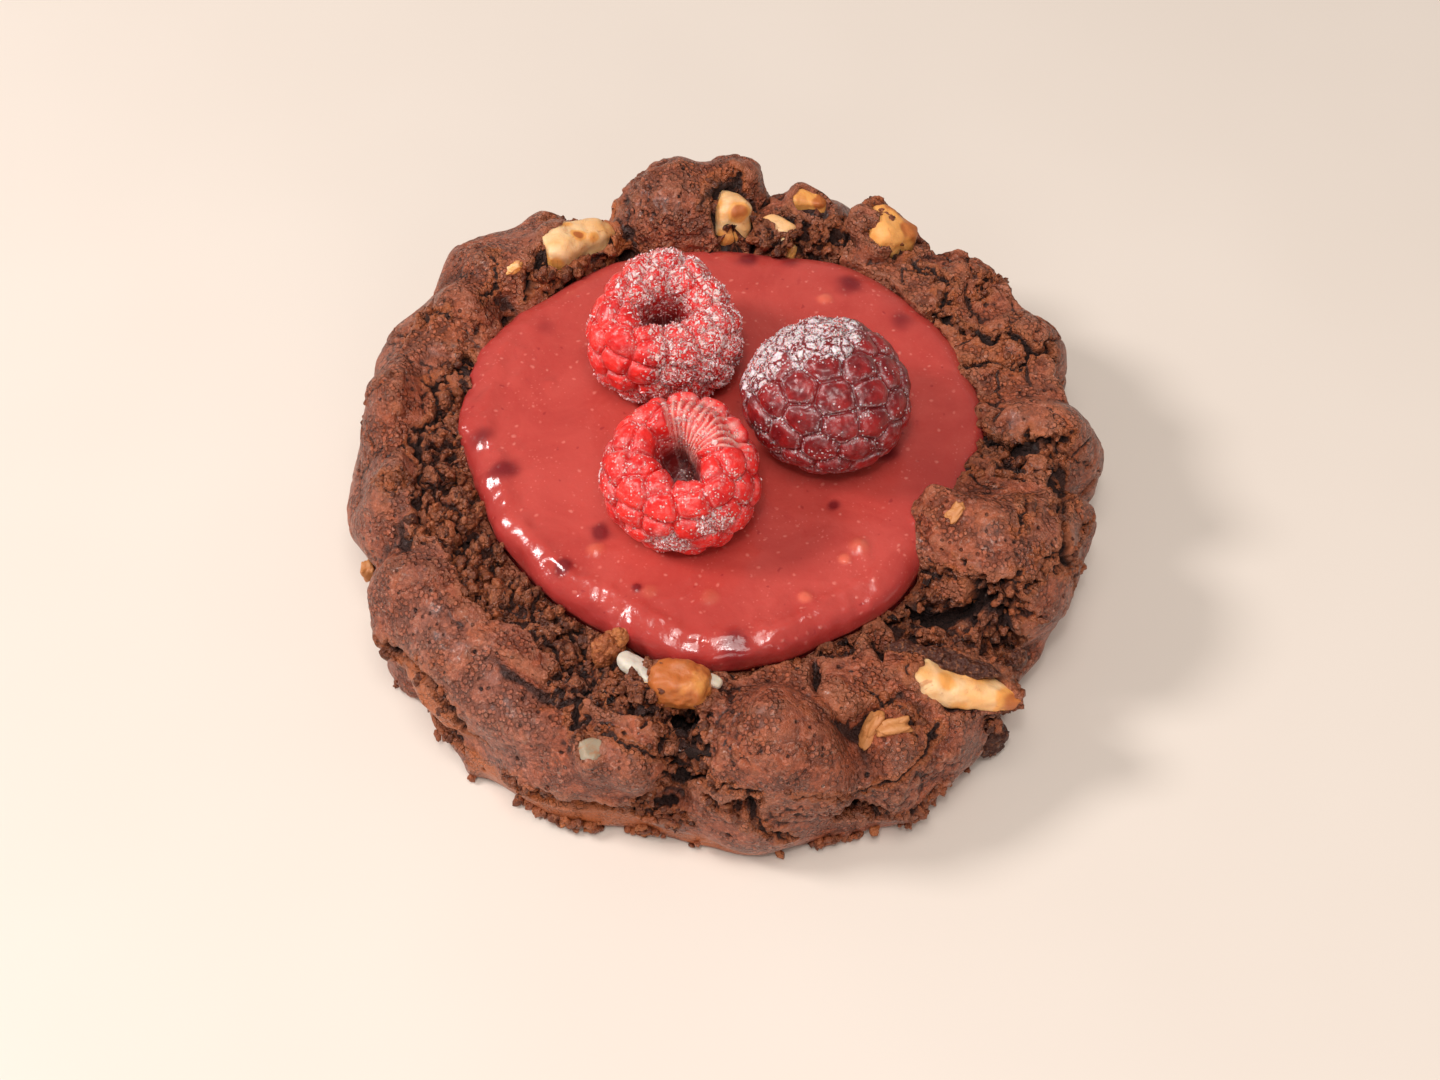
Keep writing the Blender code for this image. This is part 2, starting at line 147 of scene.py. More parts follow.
def finished(piece, material, slot, *nodes):
    piece.data.materials.clear()
    piece.data.materials.append(material)
    selectOnly(piece)
    bpy.ops.object.shade_smooth()
    if nodes:
        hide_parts(*nodes)
    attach(piece, "root")
    print(piece.name, len(piece.data.polygons), "faces")


# Noise and steps on whole arrays of points

def grain(spots, size, shift=0.0):
    return np.array([noise.noise(spot) for spot in (spots / size + shift).tolist()])


def cellGaps(spots, size, shift=0.0):
    # 0 on the borders between cells, each spot's nearest distance, and a chance value per cell
    places = spots / size + shift
    home = np.floor(places)
    first, second = np.full(len(spots), 9.0), np.full(len(spots), 9.0)
    chance = np.zeros(len(spots))
    for corner in np.ndindex(3, 3, 3):
        cell = home + np.array(corner) - 1.0
        seed = cell @ np.array((12.99, 78.23, 37.72))
        push = np.stack([(np.sin(seed + turn) * 4375.85) % 1.0 for turn in (0.0, 1.7, 3.1)], 1)
        apart = np.linalg.norm(cell + push - places, axis=1)
        closer = apart < first
        second = np.where(closer, first, np.minimum(second, apart))
        chance = np.where(closer, (push[:, 0] * 7.3 + push[:, 1] * 3.9) % 1.0, chance)
        first = np.where(closer, apart, first)
    return second - first, first, chance


def step(low, high, values):
    share = np.clip((values - low) / (high - low), 0.0, 1.0)
    return share * share * (3.0 - 2.0 * share)


def turnOff(around, middle):
    return (around - middle + 180.0) % 360.0 - 180.0


def within(around, middle, width, soft):
    # 1 within an angle of the middle, 0 outside it, and a soft change between
    return step(width + soft, width - soft, np.abs(turnOff(around, middle)))


def strongest(spots, layers):
    most = np.zeros(len(spots))
    for layer in layers:
        most = np.maximum(most, layer)
    return most


def hollowness(piece, rounds):
    # how far each point lies below the surface around it
    ends = np.empty(len(piece.data.edges) * 2, int)
    piece.data.edges.foreach_get("vertices", ends)
    ends = ends.reshape(-1, 2)
    first, second = np.concatenate((ends, ends[:, ::-1])).T
    spots = placesOf(piece)
    count = np.maximum(np.bincount(first, minlength=len(spots)), 1)
    flat = spots.copy()
    for _ in range(rounds):
        sums = [np.bincount(first, flat[second, axis], len(spots)) for axis in range(3)]
        flat = 0.5 * flat + 0.5 * np.stack(sums, 1) / count[:, None]
    return ((flat - spots) * waysOf(piece)).sum(1)


# Shader maths: a wire is a socket's output, and a recipe is a material

class Wire:
    def __init__(self, recipe, socket):
        self.recipe, self.socket = recipe, socket

    def maths(self, how, first, second):
        return self.recipe.node("Math", {"operation": how}, {0: first, 1: second})

    def __add__(self, other):
        return self.maths("ADD", self, other)

    def __sub__(self, other):
        return self.maths("SUBTRACT", self, other)

    def __rsub__(self, other):
        return self.maths("SUBTRACT", other, self)

    def __mul__(self, other):
        return self.maths("MULTIPLY", self, other)

    __radd__, __rmul__ = __add__, __mul__

    def over(self, other):
        return self.maths("MAXIMUM", self, other)

    def step(self, low, high):
        ends = {"Value": self, "From Min": low, "From Max": high}
        return self.recipe.node("MapRange", {"interpolation_type": "SMOOTHSTEP"}, ends)


class Recipe:
    def __init__(self, name, soft=(), **fixed):
        # soft holds how much light goes under the surface, how far, and how far of each colour
        self.material = bpy.data.materials.new(name)
        self.material.use_nodes = True
        self.tree = self.material.node_tree
        self.shader = self.tree.nodes["Principled BSDF"]
        self.place = self.node("TexCoord", {}, {}, "Object")
        softKeys = ("Subsurface Weight", "Subsurface Scale", "Subsurface Radius")
        for key, value in (*fixed.items(), *zip(softKeys, soft)):
            self.shader.inputs[key].default_value = value

    def node(self, kind, settings, values, out=0):
        made = self.tree.nodes.new("ShaderNode" + kind)
        for key, value in settings.items():
            if key == "stops":
                for number, (share, colour) in enumerate(value):
                    stops = made.color_ramp.elements
                    stop = stops[number] if number < 2 else stops.new(share)
                    stop.position, stop.color = share, (*colour, 1.0)
            else:
                setattr(made, key, value)
        for key, value in values.items():
            self.put(made.inputs[key], value)
        return Wire(self, made.outputs[out])

    def put(self, socket, value):
        if isinstance(value, Wire):
            self.tree.links.new(value.socket, socket)
        elif isinstance(value, tuple) and len(value) == 3 and socket.type == "RGBA":
            socket.default_value = (*value, 1.0)
        else:
            socket.default_value = value

    def texture(self, kind, size, out=0, place=None, settings=(), **values):
        values.update({"Vector": place or self.place, "Scale": 1.0 / (size * mm)})
        return self.node(kind, dict(settings), values, out)

    def grain(self, size, detail=3.0, rough=0.55, bend=0.0):
        return self.texture("TexNoise", size, Detail=detail, Roughness=rough, Distortion=bend)

    def cells(self, size, feature="F1", place=None, out=0):
        return self.texture("TexVoronoi", size, out, place, {"feature": feature})

    def chance(self, size, place=None):
        # one value from 0 to 1 for each cell
        return self.node("SeparateColor", {}, {0: self.cells(size, "F1", place, 1)})

    def bent(self, size, amount):
        # the place, pushed about by noise, so that patterns on it lose their straight lines
        push = self.texture("TexNoise", size, "Color", Detail=2.0)
        push = self.node("VectorMath", {"operation": "SCALE"}, {0: push, "Scale": amount * mm})
        return self.node("VectorMath", {"operation": "ADD"}, {0: self.place, 1: push})

    def kept(self, name):
        return self.node("Attribute", {"attribute_name": name}, {}, "Fac")

    def mix(self, share, first, second):
        return self.node("Mix", {"data_type": "RGBA"}, {0: share, 6: first, 7: second}, 2)

    def layered(self, colour, *layers):
        # each layer is a share and a colour, laid over those before it
        for share, tint in layers:
            colour = self.mix(share, colour, tint)
        return colour

    def ramp(self, share, *stops):
        return self.node("ValToRGB", {"stops": stops}, {0: share})

    def finish(self, colour, roughness, relief=None, depth=0.1, **links):
        self.put(self.shader.inputs["Base Color"], colour)
        self.put(self.shader.inputs["Roughness"], roughness)
        if relief:
            bump = self.node("Bump", {}, {"Height": relief, "Distance": depth * mm})
            self.put(self.shader.inputs["Normal"], bump)
        for key, value in links.items():
            self.put(self.shader.inputs[key], value)
        return self.material


# Camera, lights and floor

photoView = {"lens": 50.0, "sensor": 36.0, "raised": 56.0, "away": 253.0, "aside": -0.5}


def setView():
    lens = bpy.data.cameras.new("photoLens")
    lens.lens, lens.sensor_width = photoView["lens"], photoView["sensor"]
    camera = bpy.data.objects.new("photoCamera", lens)
    bpy.context.scene.collection.objects.link(camera)
    raised = math.radians(photoView["raised"])
    away = photoView["away"] * mm
    camera.location = (photoView["aside"] * mm, -away * math.cos(raised), away * math.sin(raised))
    camera.rotation_euler = (math.pi / 2 - raised, 0.0, 0.0)
    bpy.context.scene.camera = camera


studio = {
    "overhead": {"at": (0.0, -0.17, 0.68), "size": 0.36, "power": 2.25, "tint": (1.0, 0.97, 0.93)},
    "window": {"at": (-0.48, 0.02, 0.48), "size": 0.17, "power": 2.7, "tint": (1.0, 0.98, 0.97)},
    "spark": {"at": (-0.06, -0.26, 0.62), "size": 0.05, "power": 0.6, "tint": (1.0, 0.99, 0.98)},
    "front": {"at": (0.08, -0.62, 0.24), "size": 0.3, "power": 0.8, "tint": (1.0, 0.96, 0.92)},
}
surroundings = {"tint": (1.0, 0.955, 0.91), "strength": 0.25}


def setLights():
    for name, look in studio.items():
        light = bpy.data.lights.new(name, "AREA")
        light.shape, light.size = "DISK", look["size"]
        light.energy, light.color = look["power"], look["tint"]
        lamp = bpy.data.objects.new(name, light)
        lamp.location = look["at"]
        lamp.rotation_euler = (-Vector(look["at"])).to_track_quat("-Z", "Y").to_euler()
        bpy.context.scene.collection.objects.link(lamp)
    world = bpy.data.worlds.new("surroundings")
    world.use_nodes = True
    sky = world.node_tree.nodes["Background"]
    sky.inputs["Color"].default_value = (*surroundings["tint"], 1.0)
    sky.inputs["Strength"].default_value = surroundings["strength"]
    bpy.context.scene.world = world
    bpy.context.scene.view_settings.view_transform = "Standard"


def layFloor():
    bpy.ops.object.select_all(action="DESELECT")
    bpy.ops.mesh.primitive_plane_add(size=6.0, location=(0.0, 0.0, -0.0002))
    floor = bpy.context.active_object
    floor.name = "floor"
    bpy.ops.object.transform_apply(location=True, rotation=True, scale=True)
    recipe = Recipe("paleFloor")
    shade = recipe.grain(60.0, 2.0).step(0.3, 0.7)
    colour = recipe.mix(shade, (0.76, 0.66, 0.58), (0.78, 0.68, 0.60))
    floor.data.materials.append(recipe.finish(colour, 0.5))


setView()
setLights()
layFloor()
print("camera, lights and floor are set")


# White chocolate chunks. Each shows through openings in the dough, seen from above, as middle,
# half sizes and turn. It is toasted at some places, as place, radius, how much, and how it
# swells. Elsewhere its pallor counts: paler below 0, greyer towards -1, and towards -2 a dark
# grey-brown that is painted shade, for a chunk that lies in shade; more toasted above.

def lookOf(name, slot, openings, toasted, pallor=0.0, shrink=0.0):
    return {
        "name": name, "slot": slot, "openings": openings, "toasted": toasted,
        "pallor": pallor, "shrink": shrink,
    }


chunkLooks = {
    "chunk_far_left": lookOf(
        "farLeftChunk", "ivory", ((-19.5, 31.1, 6.0, 2.1, 45), (-17.2, 33.0, 3.4, 2.8, 45)),
        (
            (-18.4, 31.6, 21.8, 1.1, 1.2, 0.0), (-16.0, 31.8, 22.0, 1.4, 0.9, 0.0),
            (-21.4, 28.6, 20.6, 1.6, 0.6, 0.0), (-20.0, 33.4, 21.6, 1.0, 0.7, 0.0),
            (-14.4, 34.4, 22.0, 1.6, 0.7, 0.0),
        ), -0.45,
    ),
    "chunk_far": lookOf(
        "farChunk", "ivory", ((1.0, 34.3, 2.6, 3.9, 0),),
        (
            (1.6, 34.8, 23.0, 1.5, 1.1, 0.2), (0.4, 32.6, 20.5, 1.6, 0.75, 0.2),
            (-0.4, 35.6, 23.0, 0.9, 0.4, 0.0),
        ), -0.3,
    ),
    "chunk_far_small": lookOf(
        "smallFarChunk", "ivory", ((7.8, 33.9, 1.4, 1.5, 0), (5.6, 34.7, 0.5, 0.9, 20)), (),
    ),
    "chunk_far_crest": lookOf(
        "crestChunk", "caramel", ((11.4, 37.2, 2.7, 2.0, -8),),
        ((10.0, 37.6, 22.0, 1.6, 0.8, 0.0), (12.6, 37.8, 22.0, 1.8, 1.1, 0.0)), 0.5, 0.3,
    ),
    "chunk_far_right": lookOf(
        "farRightChunk", "caramel", ((22.6, 33.8, 2.9, 3.8, 38), (20.4, 30.9, 2.6, 1.6, -20)),
        (
            (22.2, 35.9, 22.5, 2.2, 1.0, 0.1), (24.0, 33.2, 21.0, 3.0, 1.0, 0.0),
            (20.5, 32.0, 20.0, 3.0, 0.45, 0.0),
        ), 0.42,
    ),
    "chunk_near": lookOf("nearChunk", "ivory", (), (), 0.0, 1.0),
    # a pallor of -2 paints this chunk dark grey-brown, as painted shade
    "chunk_near_small": lookOf(
        "smallNearChunk", "ivory", ((-14.8, -39.1, 1.4, 1.5, 0),), (), -2.0,
    ),
    "chunk_near_right": lookOf(
        "nearRightChunk", "ivory", ((26.9, -31.2, 6.0, 2.8, -11),),
        (
            (32.3, -32.4, 16.0, 2.8, 1.0, 0.0), (24.6, -30.9, 18.0, 1.3, 0.6, 0.0),
            (22.0, -30.6, 18.0, 1.2, 0.5, 0.0), (28.6, -29.6, 17.5, 1.5, 0.55, 0.0),
            (20.0, -28.6, 18.0, 1.2, 0.7, 0.0), (26.0, -33.0, 16.0, 1.3, 0.4, 0.0),
        ), -0.3,
    ),
}


# Dough: places on it are given by the angle round the cookie and the angle up its side, where 0
# is its outermost line, 90 its crest, and more is its inner slope

ring = {"core": 38.3, "height": 8.0, "alongDegree": 0.668, "upDegree": 0.227}
doughLook = {
    "voxels": (0.45, 0.33),
    "closing": 0.35,  # grooves up to twice as wide close up before the new ones are cut
    "softening": 16,
    "tornStep": 0.4,
    "jostle": 0.3,
    "lap": 0.4,  # the dough first covers the chunks by this much, then opens over each
    "openingReach": 2.6,
    "openingDepth": 1.1,
    "openingSquareness": 2.4,
    "lipLevel": 20.7,
    "mostFaces": 190000,
}

# Where the skin is broken open: middle and half width round and up
tornPatches = (
    (176, 20, 128, 20), (188, 12, 112, 15), (204, 16, 130, 24), (228, 20, 140, 25),
    (250, 12, 122, 27), (263, 3, 92, 34), (284, 20, 148, 14), (316, 8, 126, 34),
    (323, 4, 84, 28), (333, 9, 160, 10), (357, 4, 112, 10), (4, 10, 150, 8), (38, 5, 136, 8),
    (76, 12, 124, 26), (100, 12, 140, 12), (117, 3, 92, 40), (126, 5, 122, 12),
    (150, 12, 150, 10), (250, 14, -8, 14), (271, 4, 36, 12), (318, 6, 30, 14), (317, 6, 80, 16),
    (295, 9, -14, 8),
)

# Cracks: their line, half width and depth in millimetres
cracks = (
    (((121, 100), (127, 100), (134, 106)), 1.1, 2.4),
    (((136, 84), (138, 93), (144, 97)), 0.35, 0.7),
    (((156, 112), (160, 104), (165, 99), (170, 108), (175, 103), (181, 98)), 0.5, 1.1),
    (((193, 110), (195, 96), (199, 90)), 0.4, 0.9),
    (((186, 74), (189, 84), (187, 92)), 0.3, 0.6),
    (((51, 93), (41, 96), (38, 102), (37, 112)), 0.45, 1.1),
    (((37, 113), (29, 106), (26, 100), (24, 86), (21, 82), (19, 70)), 0.6, 1.5),
    (((24, 119), (21, 102), (19, 90), (21, 84)), 0.4, 1.0),
    (((35, 88), (38, 78), (36, 66)), 0.3, 0.7),
    (((374, 150), (361, 118), (359, 105), (360, 94), (358, 84)), 0.8, 2.0),
    (((359, 89), (351, 85), (341, 79), (338, 70), (341, 40)), 0.7, 1.8),
    (((358, 82), (351, 80)), 1.5, 2.2),
    (((325, 92), (332, 84), (338, 77)), 0.5, 1.2),
    (((361, 160), (353, 132)), 0.45, 1.1),
    (((316, 142), (320, 130), (323, 114), (324, 97), (324, 83), (325, 66)), 0.9, 2.4),
    (((264, 134), (264, 108), (265, 88), (266, 70), (260, 40), (257, 15)), 0.7, 2.0),
    (((244, 112), (247, 128), (254, 130), (263, 132)), 0.7, 1.6),
    (((247, 79), (251, 86), (257, 76), (262, 84)), 0.35, 0.8),
    (((236, 136), (243, 112), (246, 84)), 0.6, 1.3),
    (((306, 122), (304, 98), (307, 82), (309, 68)), 0.4, 0.6),
    (((208, 10), (211, 24), (215, 37), (220, 46), (223, 41), (226, 32), (229, 18)), 1.2, 3.2),
    (((307, 112), (313, 90), (318, 56)), 0.5, 1.0),
    (((267, 64), (273, 54), (275, 10), (280, -20)), 0.45, 0.9),
    (((281, 50), (290, 34), (298, 44), (304, 60)), 0.4, 0.8),
    (((297, 100), (301, 84), (300, 66)), 0.3, 0.7),
    (((335, 72), (341, 64), (347, 58)), 0.35, 0.7),
    (((348, 104), (342, 96), (336, 98)), 0.3, 0.6),
    (((203, -8), (209, -13), (217, -16), (227, -22)), 0.8, 1.2),
    (((322, 24), (319, 0), (317, -30), (316, -52)), 3.0, 2.8),
    (((94, 99), (91, 94), (88, 90)), 0.7, 1.6),
    (((150, 60), (152, 74), (150, 84)), 0.3, 0.5),
    (((60, 70), (66, 86), (70, 96)), 0.35, 0.8),
)

# Broad swells and dents: middle and half width round and up, and height
swells = (
    (105, 8, 74, 40, -2.0), (53, 10, 60, 44, -2.0), (302, 8, 8, 30, -1.1),
    (291, 6, 108, 20, 1.5), (84, 5, 88, 30, 1.6), (74, 6, 86, 30, -1.6), (64, 4, 88, 30, 1.0),
    (218, 9, 18, 20, 0.8), (232, 8, 52, 20, 0.6), (243, 5, 62, 22, -0.6),
    (254, 9, 104, 22, 0.9), (276, 9, 78, 30, 0.5),
)

# Where the skin is pebbly: middle and half width round and up
pebblyPatches = ((254, 10, 104, 18), (268, 6, 100, 30), (286, 20, 20, 18))

# Where it is baked to a crisp orange edge, like the torn patches
crispPatches = ((218, 9, 16, 16), (244, 14, -40, 22), (262, 12, -50, 12), (113, 3, 80, 30))

# Where the skin is split into plates: middle and half width round, and how strongly
platedStretches = ((22, 36, 0.35), (165, 22, 0.2))

# Hollows beside the pool that are filled with crumb: middle and half width round, and level
crumbFills = (
    (194, 18, 18.0), (216, 20, 17.8), (242, 18, 17.4), (272, 18, 17.5), (297, 9, 17.0),
    (352, 12, 18.6), (18, 20, 19.3), (50, 18, 19.8), (178, 12, 18.2), (162, 14, 18.7),
)

# Where the dough reaches in over the pool: middle and half width round, and how far
reaches = (
    (337, 14, 4.0), (351, 9, 3.0), (8, 14, 1.5), (33, 14, 2.0), (58, 12, 1.2), (80, 14, 1.6),
    (103, 13, 1.8), (132, 14, 1.4), (153, 12, 1.3), (170, 8, 0.8),
)

# Where the dough is pressed down: middle, half width, and the highest level left there
lowSpots = (
    (27.0, 34.6, 3.8, 17.6), (24.8, 37.6, 3.0, 17.8), (-16.2, 31.2, 2.8, 20.4),
    (1.2, 33.0, 2.8, 20.4), (-19.4, 28.4, 2.6, 20.4),
)


def poolRadius(around):
    # the outline of the pool of ganache, by the angle round it in radians
    sway = 3.2 * np.sin(around) + 1.2 * np.sin(3.0 * around)
    return 30.4 + sway + 0.35 * np.sin(7.0 * around + 0.6) + 0.2 * np.sin(13.0 * around)


def roundAndUp(spots):
    around = np.degrees(np.arctan2(spots[:, 1], spots[:, 0])) % 360.0
    out = flatDistance(spots) - ring["core"]
    return around, np.degrees(np.arctan2(spots[:, 2] - ring["height"], out))


def patchEdge(around, up, patch):
    # distance to a patch's edge in millimetres, below 0 inside it
    beyondRound = (np.abs(turnOff(around, patch[0])) - patch[1]) * ring["alongDegree"]
    beyondUp = (np.abs(up - patch[2]) - patch[3]) * ring["upDegree"]
    outside = np.hypot(np.maximum(beyondRound, 0.0), np.maximum(beyondUp, 0.0))
    return outside + np.minimum(np.maximum(beyondRound, beyondUp), 0.0)


def crackEdge(around, up, line):
    # distance to a crack's line in millimetres
    def flattened(turn, height):
        return turnOff(turn, line[0][0]) * ring["alongDegree"], height * ring["upDegree"]

    along, rise = flattened(around, up)
    corners = [flattened(*corner) for corner in line]
    nearest = np.full(len(along), 1000.0)
    for start, end in zip(corners, corners[1:]):
        run = (end[0] - start[0], end[1] - start[1])
        share = (along - start[0]) * run[0] + (rise - start[1]) * run[1]
        share = np.clip(share / (run[0] ** 2 + run[1] ** 2), 0.0, 1.0)
        apart = np.hypot(along - start[0] - share * run[0], rise - start[1] - share * run[1])
        nearest = np.minimum(nearest, apart)
    return nearest


def leanIn(piece):
    # crumb fills the hollows beside the pool, and the dough's lip reaches over its edge
    spots, ways = placesOf(piece), waysOf(piece)
    around, _ = roundAndUp(spots)
    wander = around + 4.0 * grain(spots, 6.0, 33.0)
    radius = flatDistance(spots)
    out = radius - poolRadius(np.radians(around))
    fills = (high * within(wander, turn, width, 3.0) for turn, width, high in crumbFills)
    level = strongest(spots, fills) + 0.16 * np.clip(out - 1.0, 0.0, 6.0)
    upper = (ways[:, 2] > 0.15) & (spots[:, 2] > 12.6) & (out > 0.6) & (out < 10.0)
    spots[:, 2] += np.maximum(level - spots[:, 2], 0.0) * upper
    moveTo(piece, spots)
    softened(piece, 4)
    spots = placesOf(piece)
    lips = (far * within(wander, turn, width, 4.0) for turn, width, far in reaches)
    reach = strongest(spots, lips)
    reach *= 1.0 + 0.7 * grain(spots, 4.0, 37.0) + 0.4 * grain(spots, 1.7, 39.0)
    share = step(16.6, 18.0, spots[:, 2]) * step(9.0, 0.8, out)
    inward = np.clip(reach * share, 0.0, 5.0) / np.maximum(radius, 1.0)
    spots[:, 0] -= spots[:, 0] * inward
    spots[:, 1] -= spots[:, 1] * inward
    lift = np.clip(doughLook["lipLevel"] - spots[:, 2], 0.0, 0.8)
    spots[:, 2] += lift * step(1.0, 2.6, reach) * share
    for x, y, width, highest in lowSpots:
        share = step(1.15, 0.7, flatDistance(spots, x, y) / width)
        spots[:, 2] -= np.maximum(spots[:, 2] - highest, 0.0) * share
    moveTo(piece, spots)
    softened(piece, 2)


def doughRelief(spots):
    around, up = roundAndUp(spots)
    coarse, middling, fine = [grain(spots, *look) for look in ((3.2, 5), (1.3, 9), (0.75, 11))]
    ragged = 1.4 * coarse + 0.7 * middling + 0.4 * fine
    stretches = (much * within(around, turn, width, 8.0) for turn, width, much in platedStretches)
    plated = strongest(spots, stretches)
    # places wander a little, so that cracks and patches have ragged sides
    around = around + 2.0 * grain(spots, 3.0, 31.0) + 1.3 * middling + 0.8 * fine
    up = up + 5.5 * grain(spots, 3.0, 41.0) + 3.5 * fine

    def patched(patches, low, high, frayed):
        edges = (patchEdge(around, up, patch) for patch in patches)
        return strongest(spots, (step(low, high, edge + frayed) for edge in edges))

    torn = patched(tornPatches, 0.35, -0.25, ragged)
    crisp = patched(crispPatches, 0.9, -0.5, ragged)
    cut, frayed = np.zeros(len(spots)), np.zeros(len(spots))
    for line, width, depth in cracks:
        near = crackEdge(around, up, line)
        cut = np.maximum(cut, depth * np.clip(1.2 - near / width, 0.0, 1.0) ** 1.1)
        frayed = np.maximum(frayed, step(width + 0.9, width + 0.2, near + 0.4 * fine))
    # plates stand at different levels, with a split between them
    gaps, _, level = cellGaps(spots + 0.5 * ragged[:, None], 6.2, 3.0)
    split = step(0.1, 0.0, gaps) * plated * step(-0.4, 0.05, coarse)
    skin = 0.6 * (level - 0.5) * plated - 1.5 * split
    frayed = np.maximum(frayed, 0.7 * split)
    # the skin has pits, and pebbles in places
    _, pits, chance = cellGaps(spots, 2.2, 21.0)
    _, pebbles, high = cellGaps(spots + 0.2 * ragged[:, None], 1.3, 25.0)
    pebbly = step(0.02, 0.3, grain(spots, 7.0, 29.0))
    pebbly = np.maximum(pebbly, 2.4 * patched(pebblyPatches, 0.6, -1.2, 0.0))
    skin += (
        0.35 * grain(spots, 6.5, 1.0) + 0.1 * grain(spots, 3.4, 1.0) + 0.04 * middling
        + 0.04 * fine
    )
    skin += (0.02 + 0.2 * pebbly) * (high - 0.5) + (0.03 + 0.14 * pebbly) * step(0.7, 0.1, pebbles)
    skin -= 0.55 * step(0.17, 0.08, pits) * (chance > 0.6)
    # torn crumb is made of lumps of two sizes, with holes between them
    lumps, _, big = cellGaps(spots + 0.3 * ragged[:, None], 2.7, 17.0)
    small, _, tiny = cellGaps(spots + 0.2 * ragged[:, None], 1.15, 19.0)
    crumb = 0.8 * (np.abs(grain(spots, 3.6, 6.0)) * 2.0 - 0.4) + 1.3 * (big - 0.5)
    crumb += (
        1.2 * (step(0.0, 0.3, lumps) - 0.75) + 0.7 * (tiny - 0.5)
        + 0.4 * (step(0.0, 0.25, small) - 0.6)
    )
    crumb -= 3.4 * np.maximum(grain(spots, 4.2, 53.0) - 0.14, 0.0) ** 0.8
    skin += frayed * (0.25 * (high - 0.5) + 0.2 * fine)
    height = skin * (1.0 - torn) + (crumb - doughLook["tornStep"]) * torn - cut
    for turn, width, crest, tall, amount in swells:
        apart = np.hypot(turnOff(around, turn) / width, (up - crest) / tall)
        height += amount * step(1.0, 0.0, apart)
    return height, np.maximum(torn, 0.75 * frayed), cut, crisp


def openOverChunks(spots, height):
    # over each chunk the dough is opened with a ragged edge, and sinks below the chunk's face,
    # but not where it lies under the chunk
    square, reachIn = doughLook["openingSquareness"], doughLook["openingReach"]
    opened = np.zeros(len(spots))
    ragged = 0.3 * grain(spots, 2.2, 91.0) + 0.16 * grain(spots, 0.9, 93.0)
    for node, look in chunkLooks.items():
        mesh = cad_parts[node].data
        corners = [tuple(vert.co / mm) for vert in mesh.vertices]
        tree = BVHTree.FromPolygons(corners, [tuple(face.vertices) for face in mesh.polygons])
        for x, y, long, wide, turned in look["openings"]:
            turn = math.radians(turned)
            side, rise = spots[:, 0] - x, spots[:, 1] - y
            along = (side * math.cos(turn) + rise * math.sin(turn)) / long
            across = (rise * math.cos(turn) - side * math.sin(turn)) / wide
            reach = (np.abs(along) ** square + np.abs(across) ** square) ** (1.0 / square)
            close = np.where((reach < 1.5) & (spots[:, 2] > 9.0))[0]
            found = [tree.find_nearest(spot, reachIn) for spot in spots[close].tolist()]
            close = close[np.array([hit[0] is not None for hit in found])]
            faces = np.array([tuple(hit[0]) for hit in found if hit[0]])
            outward = np.array([tuple(hit[1]) for hit in found if hit[0]])
            lift = ((spots[close] - faces) * outward).sum(1)
            share = step(-0.04, 0.08, 1.0 + ragged[close] - reach[close])
            share = share * step(-0.5, -0.1, outward[:, 2])
            # no crack reaches an opening
            kept = np.maximum(height[close], np.where(opened[close] < 0.1, -0.1, -9.0))
            height[close] = kept + share * (-(lift + doughLook["openingDepth"]) - kept)
            opened[close] = np.maximum(opened[close], share)
    return height, opened


def bakeDough():
    piece = copyOfNode("cookie", "bakedDough")
    fillers = [copyOfNode(node, "filler") for node in chunkLooks]
    for filler in fillers:
        grown(filler, doughLook["lap"])
    joinInto(piece, *fillers)
    remeshed(piece, doughLook["voxels"][0])
    grown(piece, doughLook["closing"])
    remeshed(piece, doughLook["voxels"][1])
    grown(piece, -doughLook["closing"])
    softened(piece, doughLook["softening"])
    leanIn(piece)
    print("dough is remeshed", len(piece.data.vertices))
    spots, ways = placesOf(piece), waysOf(piece)
    around, _ = roundAndUp(spots)
    out = flatDistance(spots) - poolRadius(np.radians(around))
    shown = np.maximum(step(0.9, 1.4, out), step(16.2, 16.8, spots[:, 2]))
    shown = step(0.2, 1.4, spots[:, 2]) * shown
    height, torn, cut, crisp = doughRelief(spots)
    height, opened = openOverChunks(spots, height)
    spots += ways * (height * shown)[:, None]
    jostle = np.stack([grain(spots, 1.0, shift) for shift in (61.0, 67.0, 71.0)], 1)
    spots += doughLook["jostle"] * jostle * (torn * shown * (1.0 - opened))[:, None]
    spots[:, 2] = np.maximum(spots[:, 2], 0.0)
    moveTo(piece, spots)
    near, far = hollowness(piece, 6), hollowness(piece, 70)
    edge = np.maximum(np.clip(torn * (1.0 - torn) * 4.0, 0.0, 1.0), 1.7 * crisp)
    keepValue(piece, "torn", torn * shown)
    # a painted sheen on the left side of the dough, where the window light falls
    keepValue(piece, "sheen", within(around, 214.0, 34.0, 12.0))
    keepValue(piece, "edge", edge * shown)
    # hollow and deep carry painted shade into the colour: in hollows, and in cracks, deep hollows
    # and round the openings over chunks
    keepValue(piece, "hollow", np.clip(near * 3.0 + far * 0.8, -1.0, 1.5))
    deep = cut * 0.45 + np.maximum(far, 0.0) * 0.5 + opened * 0.15
    keepValue(piece, "deep", np.clip(deep, 0.0, 1.0) * shown)
    return piece


def thinned(piece, most):
    # smooth and flat stretches lose faces first
    count = sum(len(face.vertices) - 2 for face in piece.data.polygons)
    useModifier(piece, "DECIMATE", ratio=min(1.0, most / count), use_collapse_triangulate=True)


